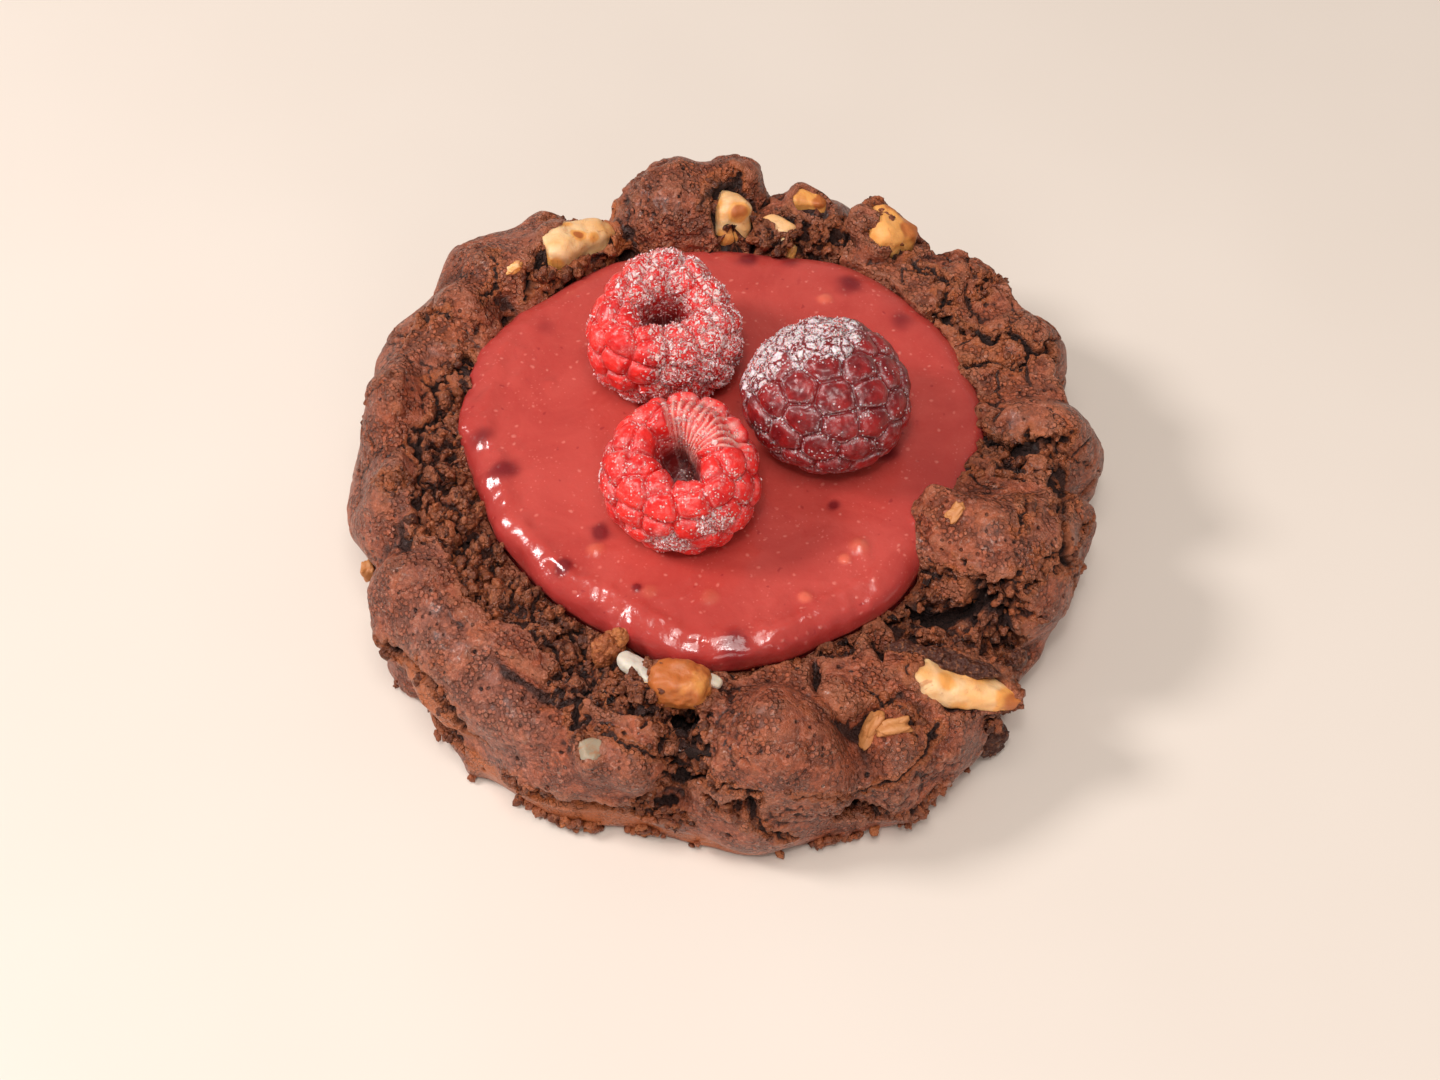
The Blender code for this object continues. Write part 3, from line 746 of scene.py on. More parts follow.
def doughFinish():
    recipe = Recipe("bakedDough", **{"Coat Roughness": 0.3})
    torn, hollow, deep, edge = [recipe.kept(name) for name in ("torn", "hollow", "deep", "edge")]
    broad, patchy = recipe.grain(11.0, 3.0), recipe.grain(3.2, 4.0, 0.6, 0.6)
    fine, dust = recipe.grain(0.8, 4.0, 0.65), recipe.grain(0.28, 3.0, 0.7)
    bent, bentMore = recipe.bent(0.9, 0.22), recipe.bent(0.7, 0.35)
    granule, speckles = recipe.cells(0.6, "F1", bent), recipe.chance(0.6, bent)
    shades = speckles * 0.6 + recipe.chance(0.3, bent) * 0.4
    pits = recipe.cells(1.0, "F1", bentMore).step(0.27, 0.1)
    pits = pits * recipe.chance(1.0, bentMore).step(0.5, 0.7)
    glints = recipe.grain(0.42, 2.0, 0.6, 0.6).step(0.58, 0.66) * (1.0 - hollow.step(0.0, 0.2))
    glints = glints * recipe.grain(2.2, 3.0).step(0.42, 0.56)
    gaps = granule.step(0.36, 0.62) * recipe.grain(3.4, 3.0, 0.6).step(0.4, 0.56)
    skinShades = recipe.ramp(
        shades, (0.0, (0.03, 0.006, 0.003)), (0.2, (0.14, 0.027, 0.012)),
        (0.5, (0.33, 0.068, 0.026)), (0.74, (0.52, 0.125, 0.052)), (0.9, (0.66, 0.23, 0.15)),
        (1.0, (0.80, 0.40, 0.30)),
    )
    skin = recipe.mix(patchy.step(0.38, 0.62), (0.22, 0.043, 0.015), (0.45, 0.100, 0.036))
    skin = recipe.layered(
        skin,
        # broad patches of painted sheen
        (broad.step(0.40, 0.62) * 0.8, (0.35, 0.098, 0.046)),
        # painted sheen on the left side
        (recipe.kept("sheen") * broad.step(0.3, 0.6) * 0.6, (0.38, 0.145, 0.10)),
        (recipe.grain(6.0, 3.0, 0.6, 0.5).step(0.54, 0.66) * 0.7, (0.46, 0.108, 0.028)),
        (fine.step(0.46, 0.3) * 0.7, (0.070, 0.015, 0.008)),
        (0.42, skinShades),
        # painted shade in the gaps between granules and in the pits
        (gaps * 0.5, (0.05, 0.011, 0.005)),
        (pits * 0.8, (0.040, 0.009, 0.005)),
    )
    crumbShades = recipe.ramp(
        shades, (0.0, (0.015, 0.003, 0.001)), (0.25, (0.085, 0.015, 0.006)),
        (0.55, (0.27, 0.052, 0.018)), (0.8, (0.54, 0.13, 0.038)), (1.0, (0.78, 0.27, 0.10)),
    )
    crumb = recipe.mix(fine.step(0.35, 0.65), (0.055, 0.012, 0.004), (0.31, 0.074, 0.023))
    crumb = recipe.layered(
        crumb, (patchy.step(0.52, 0.7) * 0.6, (0.44, 0.118, 0.034)), (0.55, crumbShades),
    )
    colour = recipe.layered(
        skin,
        (torn, crumb),
        # painted glints: pale spots laid into the colour where the coat also shines
        (glints * 0.3, (0.66, 0.36, 0.25)),
        (edge * 0.55, (0.54, 0.13, 0.030)),
        # lighter orange on raised places, then painted shade in hollows and torn crumb, and darker
        # painted shade in cracks, deep hollows and round the chunk openings
        ((0.0 - hollow).step(0.05, 0.7) * 0.45, (0.46, 0.155, 0.075)),
        ((hollow + 0.12 * torn).step(0.08, 0.55) * 0.92, (0.036, 0.008, 0.004)),
        (deep.step(0.0, 0.75) * 0.96, (0.028, 0.006, 0.003)),
    )
    relief = (0.0 - gaps) * 0.7 + speckles * 0.35 + fine * 0.35 + dust * 0.6 + torn * fine
    roughness = 0.34 + 0.14 * patchy + 0.4 * deep - 0.18 * glints
    coat = (1.0 - torn) * broad.step(0.35, 0.6) * 0.18 * (1.0 - pits) + glints * 0.5
    return recipe.finish(colour, roughness, relief - pits * 0.9, 0.6, **{"Coat Weight": coat})


dough = bakeDough()
doughMaterial = doughFinish()
doughPlaces, doughWays = placesOf(dough), waysOf(dough)
doughTorn = readValue(dough, "torn")
thinned(dough, doughLook["mostFaces"])
finished(dough, doughMaterial, "dough", "cookie")
print("dough is baked")


# Ganache pool: place, half width, height and stain of each lump, and how red it shows

poolLook = {"voxel": 0.36, "softening": 6}
poolLumps = (
    (-14.7, -15.1, 1.0, 0.55, 0.3), (-14.2, -12.8, 1.3, 0.15, 1.0),
    (-18.0, -17.4, 1.1, 0.5, 1.0), (-9.8, -20.3, 0.6, 0.35, 1.0), (-8.4, -20.8, 1.0, 0.3, 0.4),
    (-1.6, -21.5, 1.2, 0.3, 0.4), (-3.9, -18.8, 0.8, 0.2, 0.0), (15.4, -14.7, 1.2, 0.7, 0.3),
    (13.6, -16.4, 0.7, 0.35, 0.0), (12.6, -8.9, 0.7, -0.2, 1.0), (19.3, -1.3, 1.6, 0.1, 0.8),
    (12.5, 22.2, 0.9, 0.4, 0.2), (8.3, 28.5, 1.3, 0.4, 0.7), (2.9, 29.2, 1.4, 0.3, 1.0),
    (15.7, 24.7, 1.8, 0.15, 0.8), (21.7, 19.0, 1.6, 0.15, 0.6), (-25.6, -3.9, 1.7, 0.2, 0.8),
    (-28.4, 1.0, 1.3, 0.3, 0.7), (1.2, -27.1, 1.7, 0.2, 0.8), (22.0, -11.0, 0.8, 0.25, 0.0),
    (-21.0, 9.0, 0.7, 0.2, 0.1), (-12.0, 25.0, 1.2, 0.15, 0.5), (-22.0, 18.0, 1.5, 0.15, 0.4),
    (4.0, -15.5, 0.5, 0.2, 0.2), (9.0, -21.5, 0.8, 0.3, 0.2),
)


def pourPool():
    piece = copyOfNode("ganache", "pool")
    remeshed(piece, poolLook["voxel"])
    softened(piece, poolLook["softening"])
    spots, ways = placesOf(piece), waysOf(piece)
    around = np.arctan2(spots[:, 1], spots[:, 0])
    share = flatDistance(spots) / poolRadius(around)
    top = step(0.05, 0.5, ways[:, 2]) * step(15.5, 17.0, spots[:, 2])
    height = 0.24 * grain(spots, 9.0, 3.0) + 0.1 * grain(spots, 3.6, 8.0)
    # the near and left edge is thick and rippled, as it ran there and set
    nearLeft = step(-0.25, 0.35, np.cos(around - math.radians(228.0)))
    ripple = np.exp(-(((share - 0.905 - 0.02 * grain(spots, 6.0, 11.0)) / 0.028) ** 2))
    beads = 0.8 + 0.5 * grain(spots, 2.4, 15.0) + 0.4 * grain(spots, 1.3, 16.0)
    height += nearLeft * ripple * 0.4 * beads
    dents = 0.14 * grain(spots, 1.8, 23.0) + 0.12 * grain(spots, 1.1, 24.0)
    height += nearLeft * step(0.7, 0.86, share) * dents
    # and it swells a little over the crumb there
    uneven = 0.6 + 0.6 * grain(spots, 6.0, 27.0) + 0.2 * grain(spots, 2.0, 28.0)
    swell = nearLeft * step(0.86, 0.99, share) * uneven
    height += swell * 0.8
    stain, seed = np.zeros(len(spots)), np.zeros(len(spots))
    for x, y, width, rise, red in poolLumps:
        apart = flatDistance(spots, x, y) / width
        apart = apart * (1.0 + 0.35 * grain(spots, 1.5, x))
        height += rise * np.exp(-(apart**2) * 1.4)
        stain = np.maximum(stain, red * np.exp(-(apart**2)))
        seed = np.maximum(seed, (1.0 - red) * (rise > 0.25) * np.exp(-(apart**2)))
    spots[:, 2] += height * top
    spots[:, :2] *= (1.0 + swell * step(15.5, 17.5, spots[:, 2]) / 29.0)[:, None]
    moveTo(piece, spots)
    for name, values in (("stain", stain), ("seed", seed), ("rim", step(0.93, 1.0, share))):
        keepValue(piece, name, values)
    return piece


def poolFinish():
    recipe = Recipe("raspberryGanache", (0.35, 0.0012, (1.0, 0.25, 0.2)))
    cloud = recipe.grain(9.0, 4.0, 0.6, 0.8)
    streaks = recipe.grain(4.5, 5.0, 0.65, 1.6).step(0.62, 0.78)
    specks = recipe.cells(1.6, "F1", recipe.bent(2.0, 1.0)).step(0.2, 0.04)
    motes = recipe.cells(0.62, "F1", recipe.bent(1.0, 0.5)).step(0.26, 0.08)
    freckles = recipe.cells(2.6, "F1", recipe.bent(1.5, 1.4)).step(0.12, 0.05)
    colour = recipe.layered(
        recipe.mix(cloud.step(0.3, 0.7), (0.46, 0.052, 0.041), (0.54, 0.074, 0.058)),
        (streaks * 0.35, (0.36, 0.028, 0.03)),
        (specks * 0.4, (0.85, 0.28, 0.22)),
        (motes * recipe.grain(5.0, 2.0).step(0.4, 0.62) * 0.3, (0.80, 0.24, 0.19)),
        (freckles * 0.45, (0.24, 0.012, 0.018)),
        (recipe.kept("seed").step(0.1, 0.7) * 0.6, (0.84, 0.19, 0.11)),
        (recipe.kept("stain").step(0.05, 0.8) * 0.85, (0.15, 0.007, 0.012)),
        (recipe.kept("rim") * 0.5, (0.34, 0.018, 0.02)),
    )
    relief = recipe.grain(1.1, 3.0, 0.5) * 0.55 + specks * 0.3 + recipe.grain(0.4, 2.0) * 0.25
    return recipe.finish(colour, 0.13 + 0.1 * cloud, relief, 0.1)


pool = pourPool()
finished(pool, poolFinish(), "filling", "ganache")
print("pool is poured")


# Raspberries: their place, half sizes, lean in degrees, and the rings of drupelets that the
# solids have, as latitude and count

domeRings = ((-90, 1), (-66, 6), (-42, 10), (-20, 13), (2, 13), (24, 12), (46, 9), (68, 5), (90, 1))
hollowRings = (
    (-90, 1), (-66, 6), (-42, 10), (-19, 13), (4, 13), (26, 13), (46, 11), (63, 8), (79, 6),
    (90, 1),
)
# Half a section through a hollow berry's flesh: latitude, and shares of its radius and height
hollowSection = (
    (-90, 0.0, -1.0), (-60, 0.56, -0.9), (-30, 0.9, -0.52), (0, 1.0, 0.0), (25, 0.96, 0.46),
    (42, 0.84, 0.8), (54, 0.66, 0.98), (63, 0.48, 0.9), (72, 0.3, 0.5), (82, 0.2, -0.1),
    (90, 0.0, -0.3),
)
berryLooks = {
    "leftRaspberry": {
        "node": "raspberry_left", "at": (-7.2, 12.4), "radius": 8.1, "height": 6.3,
        "lean": (10, 4), "hollow": True, "corner": (0.07, 90), "mouth": (0.16, 20),
        "tear": (0, 0), "drupelet": 1.15, "frost": 0.68,
        "bare": ((215, 20, 44), (150, 25, 24)), "drifts": (),
    },
    "nearRaspberry": {
        "node": "raspberry_near", "at": (-4.8, -8.8), "radius": 8.1, "height": 6.4,
        "lean": (12, -6), "hollow": True, "corner": (0.03, 200), "mouth": (0.3, 125),
        "tear": (55, 48), "drupelet": 1.1, "frost": 0.2,
        "bare": (), "drifts": ((262, 4, 22), (300, 25, 16), (170, 0, 20)),
    },
    "rightRaspberry": {
        "node": "raspberry_right", "at": (11.9, 2.1), "radius": 9.0, "height": 7.4,
        "lean": (-8, 6), "hollow": False, "corner": (0.02, 70), "mouth": (0.0, 0),
        "tear": (0, 0), "drupelet": 0.95, "frost": 0.08,
        "bare": (), "drifts": ((130, 55, 44), (165, 28, 36)),
    },
}
berryShape = {"bottom": 20.75, "flat": 1.2, "sunk": 19.7}


def drupeletWays(look):
    rings = hollowRings if look["hollow"] else domeRings
    ways = []
    for number, (latitude, count) in enumerate(rings):
        for part in range(count):
            around = 2.0 * math.pi * (part + 0.5 * (number % 2) + 0.13 * number) / count
            jitter = noise.noise_vector(Vector((number * 3.1, part * 1.7, look["corner"][1])))
            slope = math.radians(latitude + 3.0 * jitter.x * (count > 1))
            around += 0.09 * jitter.y
            flat = math.cos(slope)
            ways.append(Vector((flat * math.cos(around), flat * math.sin(around), math.sin(slope))))
    return ways


def fleshAt(look, latitude, around):
    # radius and height of the flesh under the drupelets, in millimetres
    if look["hollow"]:
        table, fine = np.array(hollowSection), np.linspace(-90, 90, 361)
        shares = []
        for column in (1, 2):
            padded = np.pad(np.interp(fine, table[:, 0], table[:, column]), 8, mode="reflect")
            rounded = np.convolve(padded, np.ones(17) / 17.0, mode="valid")
            shares.append(np.interp(latitude, fine, rounded))
        wide, tall = shares
    else:
        wide, tall = np.cos(np.radians(latitude)), np.sin(np.radians(latitude))
    corners = 1.0 + look["corner"][0] * np.cos(3.0 * (around - math.radians(look["corner"][1])))
    mouth = step(50.0, 72.0, latitude) * np.cos(2.0 * (around - math.radians(look["mouth"][1])))
    return wide * look["radius"] * corners * (1.0 + look["mouth"][0] * mouth), tall * look["height"]


def spotShare(latitude, around, spot):
    # nearness to a place on the berry, given by its angle round, its latitude and its width
    side = turnOff(np.degrees(around), spot[0]) * np.cos(np.radians(latitude))
    off = np.radians(np.stack((side, latitude - spot[1])))
    return step(1.2, 0.5, np.degrees(np.hypot(*off)) / spot[2])


def growBerry(name, look):
    piece, ways = newBall(7, name)
    ways /= np.linalg.norm(ways, axis=1)[:, None]
    middles = drupeletWays(look)
    tree = kdtree.KDTree(len(middles))
    for number, way in enumerate(middles):
        tree.insert(way, number)
    tree.balance()
    found = [tree.find_n(way, 2) for way in ways.tolist()]
    near = np.array([[hit[2] for hit in pair] for pair in found])
    owner = np.array([pair[0][1] for pair in found])
    border = (near[:, 1] - near[:, 0]) / (near[:, 1] + near[:, 0])
    latitude = np.degrees(np.arcsin(np.clip(ways[:, 2], -1.0, 1.0)))
    around = np.arctan2(ways[:, 1], ways[:, 0])
    wide, tall = fleshAt(look, latitude, around)
    # outward ways, from the flesh a little above and below
    ahead = fleshAt(look, np.minimum(latitude + 4.0, 90.0), around)
    behind = fleshAt(look, np.maximum(latitude - 4.0, -90.0), around)
    out = np.stack((ahead[1] - behind[1], behind[0] - ahead[0]), 1)
    out /= np.maximum(np.linalg.norm(out, axis=1), 1e-6)[:, None]
    outWays = np.stack((out[:, 0] * np.cos(around), out[:, 0] * np.sin(around), out[:, 1]), 1)
    sizes = np.array([1.0 + 0.22 * noise.noise(way * 4.0) for way in middles])
    lift = look["drupelet"] * sizes[owner]
    dome = np.sqrt(1.0 - (1.0 - np.clip(border * 1.5, 0.0, 1.0)) ** 2)
    inside, torn = np.zeros(len(ways)), np.zeros(len(ways))
    if look["hollow"]:
        lift = lift * step(74.0, 64.0, latitude)
        inside = step(66.0, 80.0, latitude)
    if look["tear"][1]:
        torn = within(np.degrees(around), *look["tear"], 4.0) * step(26.0, 36.0, latitude)
    ribs = 0.5 + 0.5 * np.cos(around * 42.0 + 3.8 * grain(ways, 0.35, 4.0))
    height = lift * dome * (1.0 - torn) + torn * (0.34 * ribs - 0.4 + 0.3 * grain(ways, 0.3, 6.0))
    spots = np.stack((wide * np.cos(around), wide * np.sin(around), tall), 1)
    spots = spots + outWays * height[:, None]
    spots += outWays * (0.12 * grain(spots, 1.1, 7.0) + 0.07 * grain(spots, 0.45, 9.0))[:, None]
    level = berryShape["bottom"] + look["height"] - berryShape["flat"]
    leaning = spin(look["lean"][0], "X") @ spin(look["lean"][1], "Y")
    spots = placed(spots, leaning, (*look["at"], level))
    spots[:, 2] = np.maximum(spots[:, 2], berryShape["sunk"])
    moveTo(piece, spots)
    frost = np.full(len(spots), look["frost"])
    for bare in look["bare"]:
        frost *= 1.0 - 0.9 * spotShare(latitude, around, bare)
    for drift in look["drifts"]:
        frost = np.maximum(frost, 0.95 * spotShare(latitude, around, drift))
    frost *= step(86.0, 66.0, latitude) if look["hollow"] else 1.0
    keepValue(piece, "frost", np.clip(frost + 0.25 * grain(spots, 2.2, 5.0), 0.0, 1.0))
    keepValue(piece, "valley", 1.0 - step(0.02, 0.3, border) * (1.0 - torn))
    keepValue(piece, "rib", torn * ribs)
    keepValue(piece, "inside", inside)
    return piece


def berryFinish(name, look):
    recipe = Recipe(name, (0.4, 0.0016, (1.0, 0.12, 0.08)))
    deep, seam = look["deep"], look["seam"]
    frost, valley = recipe.kept("frost"), recipe.kept("valley")
    dust = recipe.grain(0.9, 4.0, 0.7, 0.5)
    cover = frost + valley * seam + dust * 0.7 - 0.42
    wide, fine = recipe.bent(0.8, 0.35), recipe.bent(0.4, 0.2)
    # frost in flakes, in specks, along the seams and as a thin veil
    flakes = recipe.cells(look["flake"], "DISTANCE_TO_EDGE", wide).step(0.05, 0.16)
    shown = (cover - 0.25 - recipe.chance(look["flake"], wide) * look["patchy"]).step(0.0, 0.08)
    flakes = flakes * shown * dust.step(0.3, 0.5)
    tiny = recipe.cells(0.3, "F1", fine)
    specks = (cover + seam * 0.3 - recipe.chance(0.3, fine)).step(-0.03, 0.08) * tiny.step(0.6, 0.3)
    grit = recipe.grain(0.22, 3.0, 0.7).step(0.46, 0.6) * 0.7 + 0.3
    outline = valley.step(0.0, 0.4) * valley.step(0.9, 0.6) * grit
    outline = outline * dust.step(0.38, 0.62) * look["outlined"]
    veil = recipe.grain(1.5, 4.0, 0.7, 0.6).step(0.48, 0.72) * grit * look["veil"]
    rime = flakes.over(specks * 0.85).over(outline).over(veil)
    colour = recipe.layered(
        look["flesh"],
        (recipe.grain(2.4, 3.0).step(0.35, 0.65), deep),
        # painted shade in the valleys between drupelets
        (valley * 0.45, deep),
        (recipe.kept("rib") * recipe.grain(0.9, 3.0).step(0.25, 0.5), look["pale"]),
        # painted shade inside the hollow of the berry
        (recipe.kept("inside") * 0.85, (0.035, 0.003, 0.004)),
        (cover.step(0.1, 0.5) * 0.5, deep),
        (rime * 0.92, look["frost"]),
    )
    relief = flakes * 0.8 + specks * (1.0 - tiny) * 0.9 + outline * 0.4
    relief = relief + recipe.grain(0.9, 2.0) * 0.3
    return recipe.finish(colour, 0.33 + 0.3 * rime, relief, 0.22)


fleshLooks = {
    "redRaspberry": {
        "flesh": (0.93, 0.032, 0.024), "deep": (0.62, 0.010, 0.011), "pale": (0.95, 0.48, 0.41),
        "frost": (0.98, 0.68, 0.65), "seam": 0.14, "outlined": 0.42, "veil": 0.5,
        "flake": 0.85, "patchy": 0.55,
    },
    "darkRaspberry": {
        "flesh": (0.33, 0.014, 0.014), "deep": (0.16, 0.006, 0.008), "pale": (0.6, 0.3, 0.3),
        "frost": (0.96, 0.80, 0.82), "seam": 0.2, "outlined": 0.6, "veil": 0.15,
        "flake": 1.35, "patchy": 0.3,
    },
}
redFlesh, darkFlesh = [berryFinish(name, look) for name, look in fleshLooks.items()]
berries = {}
for berryName, berryLook in berryLooks.items():
    berries[berryName] = growBerry(berryName, berryLook)
    berryKind = (redFlesh, "berry_red") if berryLook["hollow"] else (darkFlesh, "berry_dark")
    finished(berries[berryName], *berryKind, berryLook["node"])
print("raspberries are grown")


# The near chunk shows as a thin blade and a toasted nodule: middle, half sizes, turn, tip and
# toasting
nearParts = (
    ((-9.0, -30.3, 18.9), (3.4, 1.35, 0.9), -38, -20, -1.2),
    ((-4.9, -32.2, 19.7), (3.4, 2.5, 2.3), -8, 0, 1.08),
    ((-1.3, -31.6, 19.2), (1.1, 0.7, 0.6), -25, 0, -0.9),
)
chunkShape = {"voxel": 0.28, "softening": 14, "partSquareness": 3.0}


def nearPart(middle, halves, turned, tipped, toasting):
    piece, spots = newBall(5)
    square = chunkShape["partSquareness"]
    squared = (np.abs(spots) ** square).sum(1) ** (1.0 / square)
    spots /= squared[:, None]
    spots *= np.array(halves)
    rough = 0.16 * grain(spots, 1.6, middle[0]) + 0.08 * grain(spots, 0.7, 3.0)
    spots += waysOf(piece) * (rough * min(halves))[:, None]
    mottled = 0.4 * grain(spots, 1.8, 8.0) - 0.07 * spots[:, 0] + 0.02 * spots[:, 1]
    moveTo(piece, placed(spots, spin(turned) @ spin(tipped, "X"), middle))
    keepValue(piece, "toast", toasting + mottled * (toasting > 0.5))
    return piece


def shapeChunk(node, look):
    piece = copyOfNode(node, look["name"])
    remeshed(piece, chunkShape["voxel"])
    if look["shrink"]:
        grown(piece, -look["shrink"])
    softened(piece, chunkShape["softening"])
    spots, ways = placesOf(piece), waysOf(piece)
    height = 0.3 * grain(spots, 3.0, 4.0) + 0.16 * grain(spots, 1.1, 6.0)
    toast = np.full(len(spots), look["pallor"])
    for x, y, z, width, amount, swell in look["toasted"]:
        apart = np.linalg.norm(spots - np.array((x, y, z)), axis=1) / width
        apart += 0.4 * grain(spots, 1.6, x)
        toast = np.maximum(toast, amount * step(1.25, 0.35, apart))
        height += swell * step(1.1, 0.2, apart)
    moveTo(piece, spots + ways * height[:, None])
    keepValue(piece, "toast", toast)
    if node == "chunk_near":
        joinInto(piece, *[nearPart(*part) for part in nearParts])
    return piece


def chunkFinish():
    recipe = Recipe("whiteChocolate", (0.25, 0.001, (1.0, 0.6, 0.3)))
    toast = recipe.kept("toast") + 0.35 * recipe.grain(1.6, 3.0) - 0.17
    paleness, cloud = 0.0 - toast, recipe.grain(4.0, 3.0)
    colour = recipe.layered(
        recipe.mix(cloud.step(0.35, 0.65), (0.89, 0.56, 0.29), (0.87, 0.44, 0.16)),
        (paleness.step(0.2, 0.5), (0.90, 0.69, 0.45)),
        (paleness.step(0.75, 1.0), (0.68, 0.61, 0.51)),
        # the darkest grey-brown is painted shade, for a chunk that lies in shade
        (paleness.step(1.4, 1.9), (0.36, 0.28, 0.19)),
        (toast.step(0.05, 0.5), (0.88, 0.38, 0.095)),
        (toast.step(0.6, 1.05), (0.50, 0.135, 0.028)),
        (recipe.grain(2.2, 4.0, 0.6, 1.0).step(0.56, 0.68) * 0.6, (0.46, 0.15, 0.045)),
    )
    relief = recipe.grain(0.8, 4.0, 0.6) + recipe.grain(0.25, 2.0) * 0.2
    return recipe.finish(colour, 0.38 + 0.2 * cloud, relief, 0.12)


chunkMaterial = chunkFinish()
for chunkNode, chunkLook in chunkLooks.items():
    finished(shapeChunk(chunkNode, chunkLook), chunkMaterial, chunkLook["slot"], chunkNode)
print("chunks are shaped")


# Small things that repeat: a few shapes, stamped many times into one piece

def lumpShape(seed, rough, sides):
    lump, spots = newBall(sides, radius=0.5)
    spots *= 1.0 + rough * grain(spots, 0.42, seed)[:, None]
    spots *= np.array((1.0, 0.82, 0.7))
    faces = np.empty(len(lump.data.polygons) * 3, int)
    lump.data.polygons.foreach_get("vertices", faces)
    bpy.data.objects.remove(lump)
    return spots, faces.reshape(-1, 3)


def stamped(name, shapes, places):
    # places hold a shape's number, its centre, turn, three sizes and shade
    allSpots, allFaces, allShades, count = [], [], [], 0
    for number, centre, turn, sizes, shade in places:
        spots, faces = shapes[number]
        allSpots.append(placed(spots * np.array(sizes), turn, centre))
        allFaces.append(faces + count)
        allShades.append(np.full(len(spots), shade))
        count += len(spots)
    mesh = bpy.data.meshes.new(name)
    corners, faces = np.concatenate(allSpots) * mm, np.concatenate(allFaces)
    mesh.from_pydata(corners.tolist(), [], faces.tolist())
    piece = bpy.data.objects.new(name, mesh)
    bpy.context.scene.collection.objects.link(piece)
    keepValue(piece, "shade", np.concatenate(allShades))
    return piece


def anyTurn(dice):
    first, second, third = [Matrix.Rotation(dice.uniform(0, 6.28), 3, axis) for axis in "XZY"]
    return first @ second @ third


def drawn(dice, total):
    # the number of a point, drawn by the running total of all the points' chances
    return int(np.searchsorted(total, dice.random() * total[-1]))


crumbLook = {"count": 1700, "sizes": (0.45, 1.6), "sunk": -0.05}
footLook = {"count": 170, "sizes": (0.5, 1.4)}


def scatterCrumbs():
    dice = random.Random(7)
    shapes = [lumpShape(seed, 0.95, 2) for seed in (3.0, 8.0, 14.0, 21.0)]
    spots, ways = doughPlaces, doughWays
    chance = np.clip(doughTorn * (grain(spots, 4.0, 77.0) + 0.35), 0.0, 1.0)
    chance[spots[:, 2] < 0.6] = 0.0
    total = np.cumsum(chance)
    places = []
    for _ in range(crumbLook["count"]):
        pick = drawn(dice, total)
        size = dice.uniform(*crumbLook["sizes"]) * dice.choice((0.6, 0.8, 1.0))
        centre = spots[pick] + ways[pick] * size * crumbLook["sunk"]
        sizes = [size * dice.uniform(0.8, 1.25) for _ in range(3)]
        places.append((dice.randrange(4), centre, anyTurn(dice), sizes, dice.random()))
    # some hang at the foot, most of them at the near side
    around, _ = roundAndUp(spots)
    near = np.maximum(within(around, 250.0, 10.5, 5.5), 0.3 * within(around, 292.0, 11.0, 5.0))
    low = (spots[:, 2] < 2.6) & (spots[:, 2] > 0.3) & (flatDistance(spots) > 36.0)
    total = np.cumsum(low * (near + 0.03) * np.clip(grain(spots, 3.0, 83.0) + 0.3, 0.0, 1.0))
    for _ in range(footLook["count"]):
        pick = drawn(dice, total)
        size = dice.uniform(*footLook["sizes"])
        centre = spots[pick] + ways[pick] * size * 0.25
        centre[2] = max(centre[2], 0.42 * size)
        sizes = [size * dice.uniform(0.8, 1.2) for _ in range(3)]
        places.append((dice.randrange(4), centre, anyTurn(dice), sizes, dice.uniform(0.3, 1.2)))
    return stamped("crumbs", shapes, places)


def crumbFinish():
    recipe = Recipe("looseCrumb")
    shade, fine = recipe.kept("shade"), recipe.grain(0.5, 4.0, 0.65)
    colour = recipe.layered(
        recipe.mix(shade, (0.07, 0.014, 0.005), (0.37, 0.092, 0.029)),
        ((shade - 1.0) * 1.5, (0.66, 0.22, 0.055)),
        (fine.step(0.5, 0.7) * 0.45, (0.56, 0.20, 0.08)),
        (fine.step(0.48, 0.3) * 0.55, (0.06, 0.012, 0.005)),
    )
    relief = fine + (0.0 - recipe.cells(0.5, "F1", recipe.bent(0.6, 0.4))) * 0.6
    return recipe.finish(colour, 0.32 + 0.25 * fine, relief, 0.4)


crumbMaterial = crumbFinish()
finished(scatterCrumbs(), crumbMaterial, "dough")
print("crumbs are scattered")


# Frost crystals on each berry: how many, the seed of their draw, and their size
frostLooks = {
    "leftRaspberry": (6500, 65, 1.0),
    "nearRaspberry": (1200, 12, 0.85),
    "rightRaspberry": (600, 6, 0.65),
}
crystalSizes = (0.16, 0.44)


def frostBerry(berry, count, seed, finer):
    dice = random.Random(seed)
    shapes = [lumpShape(shift, 0.5, 1) for shift in (2.0, 5.0, 9.0)]
    spots, ways, frost = placesOf(berry), waysOf(berry), readValue(berry, "frost")
    chance = np.clip(frost + 0.5 * grain(spots, 1.1, 88.0) - 0.3, 0.0, 1.0) ** 2
    chance[spots[:, 2] < 21.0] = 0.0
    total = np.cumsum(chance)
    places = []
    for _ in range(count):
        pick = drawn(dice, total)
        size = dice.uniform(*crystalSizes) * finer
        centre = spots[pick] + ways[pick] * size * 0.2
        sizes = [size * dice.uniform(*ends) for ends in ((0.8, 1.9), (0.5, 1.0), (0.4, 0.9))]
        places.append((dice.randrange(3), centre, anyTurn(dice), sizes, dice.random()))
    return stamped(berry.name.replace("Raspberry", "Frost"), shapes, places)


def frostFinish():
    recipe = Recipe("iceCrystals", (0.3, 0.0006, (1.0, 0.7, 0.7)))
    shade = recipe.kept("shade")
    colour = recipe.mix(shade.step(0.35, 0.8), (0.72, 0.14, 0.13), (0.96, 0.80, 0.80))
    return recipe.finish(colour, 0.2 + 0.2 * shade)


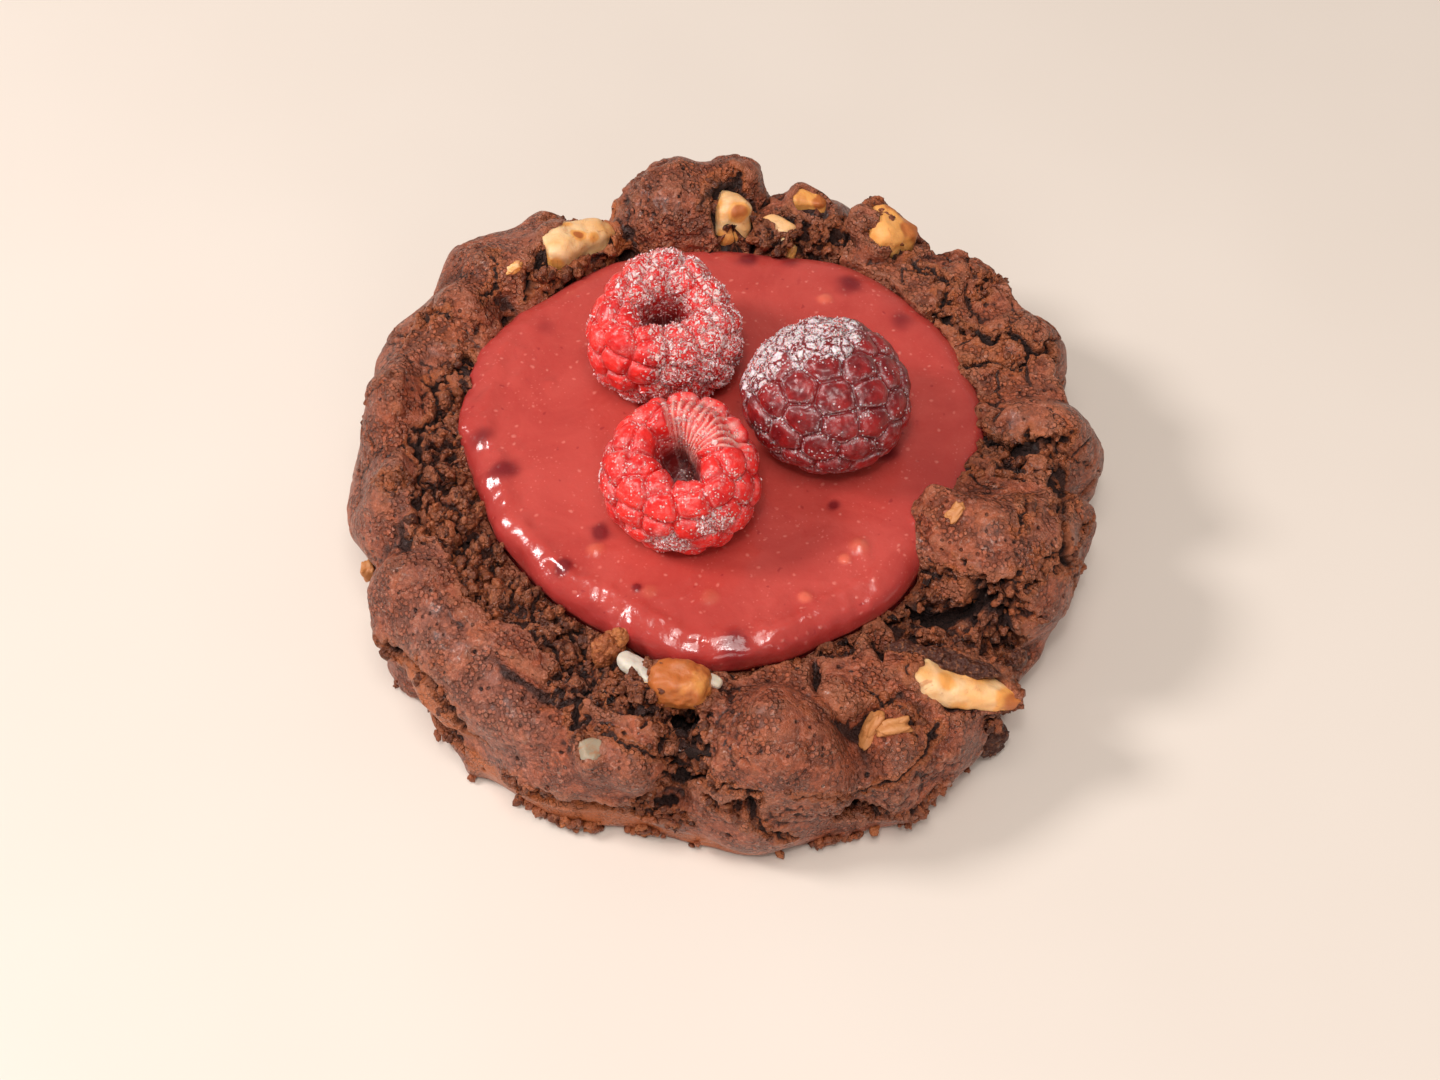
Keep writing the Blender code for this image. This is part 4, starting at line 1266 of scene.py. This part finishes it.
frostMaterial = frostFinish()
for berryName, frostLook in frostLooks.items():
    frost = frostBerry(berries[berryName], *frostLook)
    finished(frost, frostMaterial, "berry_red" if berryLooks[berryName]["hollow"] else "berry_dark")
    bpy.ops.object.shade_flat()
print("raspberries are frosted")


# Nut and chocolate bits baked into the dough: place, half sizes, turn and kind. They lie on the
# dough where no height is given.

bits = (
    ("nutBitA", (16.2, -35.6, None), (1.9, 1.0, 0.75), 40, "nut"),
    ("nutBitB", (18.4, -36.2, None), (1.8, 0.75, 0.65), 12, "nut"),
    ("flakeBit", (26.2, -12.1, None), (1.1, 0.7, 0.4), 40, "nut"),
    ("orangeBit", (-43.0, -9.4, 7.6), (0.7, 1.0, 1.1), 10, "nut"),
    ("paleBit", (-26.1, 26.1, None), (1.0, 0.6, 0.5), 30, "white"),
    ("paleSliver", (8.7, 31.9, None), (0.5, 1.5, 0.5), -20, "white"),
)


def onDough(x, y):
    hit, spot, way, _ = dough.ray_cast((x * mm, y * mm, 60.0 * mm), (0.0, 0.0, -1.0))
    return (spot / mm, way) if hit else (Vector((x, y, 15.0)), Vector((0.0, 0.0, 1.0)))


def shapeBit(name, at, halves, turned):
    bpy.ops.object.select_all(action="DESELECT")
    bpy.ops.mesh.primitive_cube_add(size=2.0)
    piece = bpy.context.active_object
    piece.name = name
    bpy.ops.object.mode_set(mode="EDIT")
    bpy.ops.mesh.select_all(action="SELECT")
    bpy.ops.mesh.bevel(offset=0.5, segments=2, affect="EDGES")
    bpy.ops.mesh.subdivide(number_cuts=3, smoothness=0.6)
    bpy.ops.object.mode_set(mode="OBJECT")
    spots = placesOf(piece) * mm
    rough = 1.0 + 0.5 * grain(spots, 1.1, at[0]) + 0.22 * grain(spots, 0.45, at[1])
    spots *= rough[:, None]
    turn, middle = spin(turned), at
    if at[2] is None:
        middle, way = onDough(at[0], at[1])
        turn = Vector((0.0, 0.0, 1.0)).rotation_difference(way).to_matrix() @ turn
    moveTo(piece, placed(spots * np.array(halves), turn, middle))
    keepValue(piece, "toast", 0.35 + 0.4 * grain(spots, 0.9, 3.0))
    return piece


def nutFinish():
    recipe = Recipe("toastedNut")
    toast = recipe.kept("toast") + 0.4 * recipe.grain(1.0, 3.0) - 0.2
    colour = recipe.mix(toast.step(0.0, 0.8), (0.58, 0.24, 0.078), (0.46, 0.145, 0.034))
    relief = recipe.grain(0.7, 4.0, 0.6)
    return recipe.finish(colour, 0.5, relief, 0.15)


nutMaterial = nutFinish()
for name, at, halves, turned, kind in bits:
    bitKind = (nutMaterial, "caramel") if kind == "nut" else (chunkMaterial, "ivory")
    finished(shapeBit(name, at, halves, turned), *bitKind)
print("bits are set")


# Clumps of crumb that stand out: place, half sizes, turn, and shade from dark to toasted

clumps = (
    ("toastedClump", (-13.0, -27.0, 18.4), (1.9, 1.4, 2.4), 20, 1.1),
    ("toastedClumpTop", (-11.9, -26.5, 19.8), (1.0, 0.8, 1.6), 0, 1.35),
    ("farCrumb", (19.4, 33.8, 22.5), (2.4, 1.4, 0.8), 12, 0.5),
    ("darkClump", (30.6, -29.6, 3.4), (2.6, 2.3, 3.2), 30, -0.25),
    ("darkClumpTop", (29.4, -29.6, 7.2), (1.7, 1.4, 2.2), 10, -0.2),
    ("darkSlab", (24.3, -27.9, 17.6), (6.6, 1.3, 1.1), -18, -0.1),
    ("sideCrumb", (33.5, -24.7, 12.6), (1.0, 0.8, 1.6), 20, 0.1),
)


def shapeClump(name, at, halves, turned, shade):
    piece, spots = newBall(6, name)
    spots = spots * np.array(halves)
    rough = 0.3 * grain(spots, 1.0, at[0])[:, None]
    _, lumps, level = cellGaps(spots + rough, 1.3, at[1])
    _, grit, chance = cellGaps(spots, 0.6, at[0])
    height = 0.35 * grain(spots, 2.2, at[0]) + 0.5 * (level - 0.5)
    height = height + 0.35 * (0.5 - lumps) + 0.2 * (chance - 0.5)
    spots += waysOf(piece) * (height + 0.15 * (0.5 - grit))[:, None]
    spots = placed(spots, spin(turned), at)
    spots[:, 2] = np.maximum(spots[:, 2], 0.0)
    moveTo(piece, spots)
    keepValue(piece, "shade", shade + 0.3 * (chance - 0.5))
    return piece


for clump in clumps:
    finished(shapeClump(*clump), crumbMaterial, "dough")
print("clumps are set")
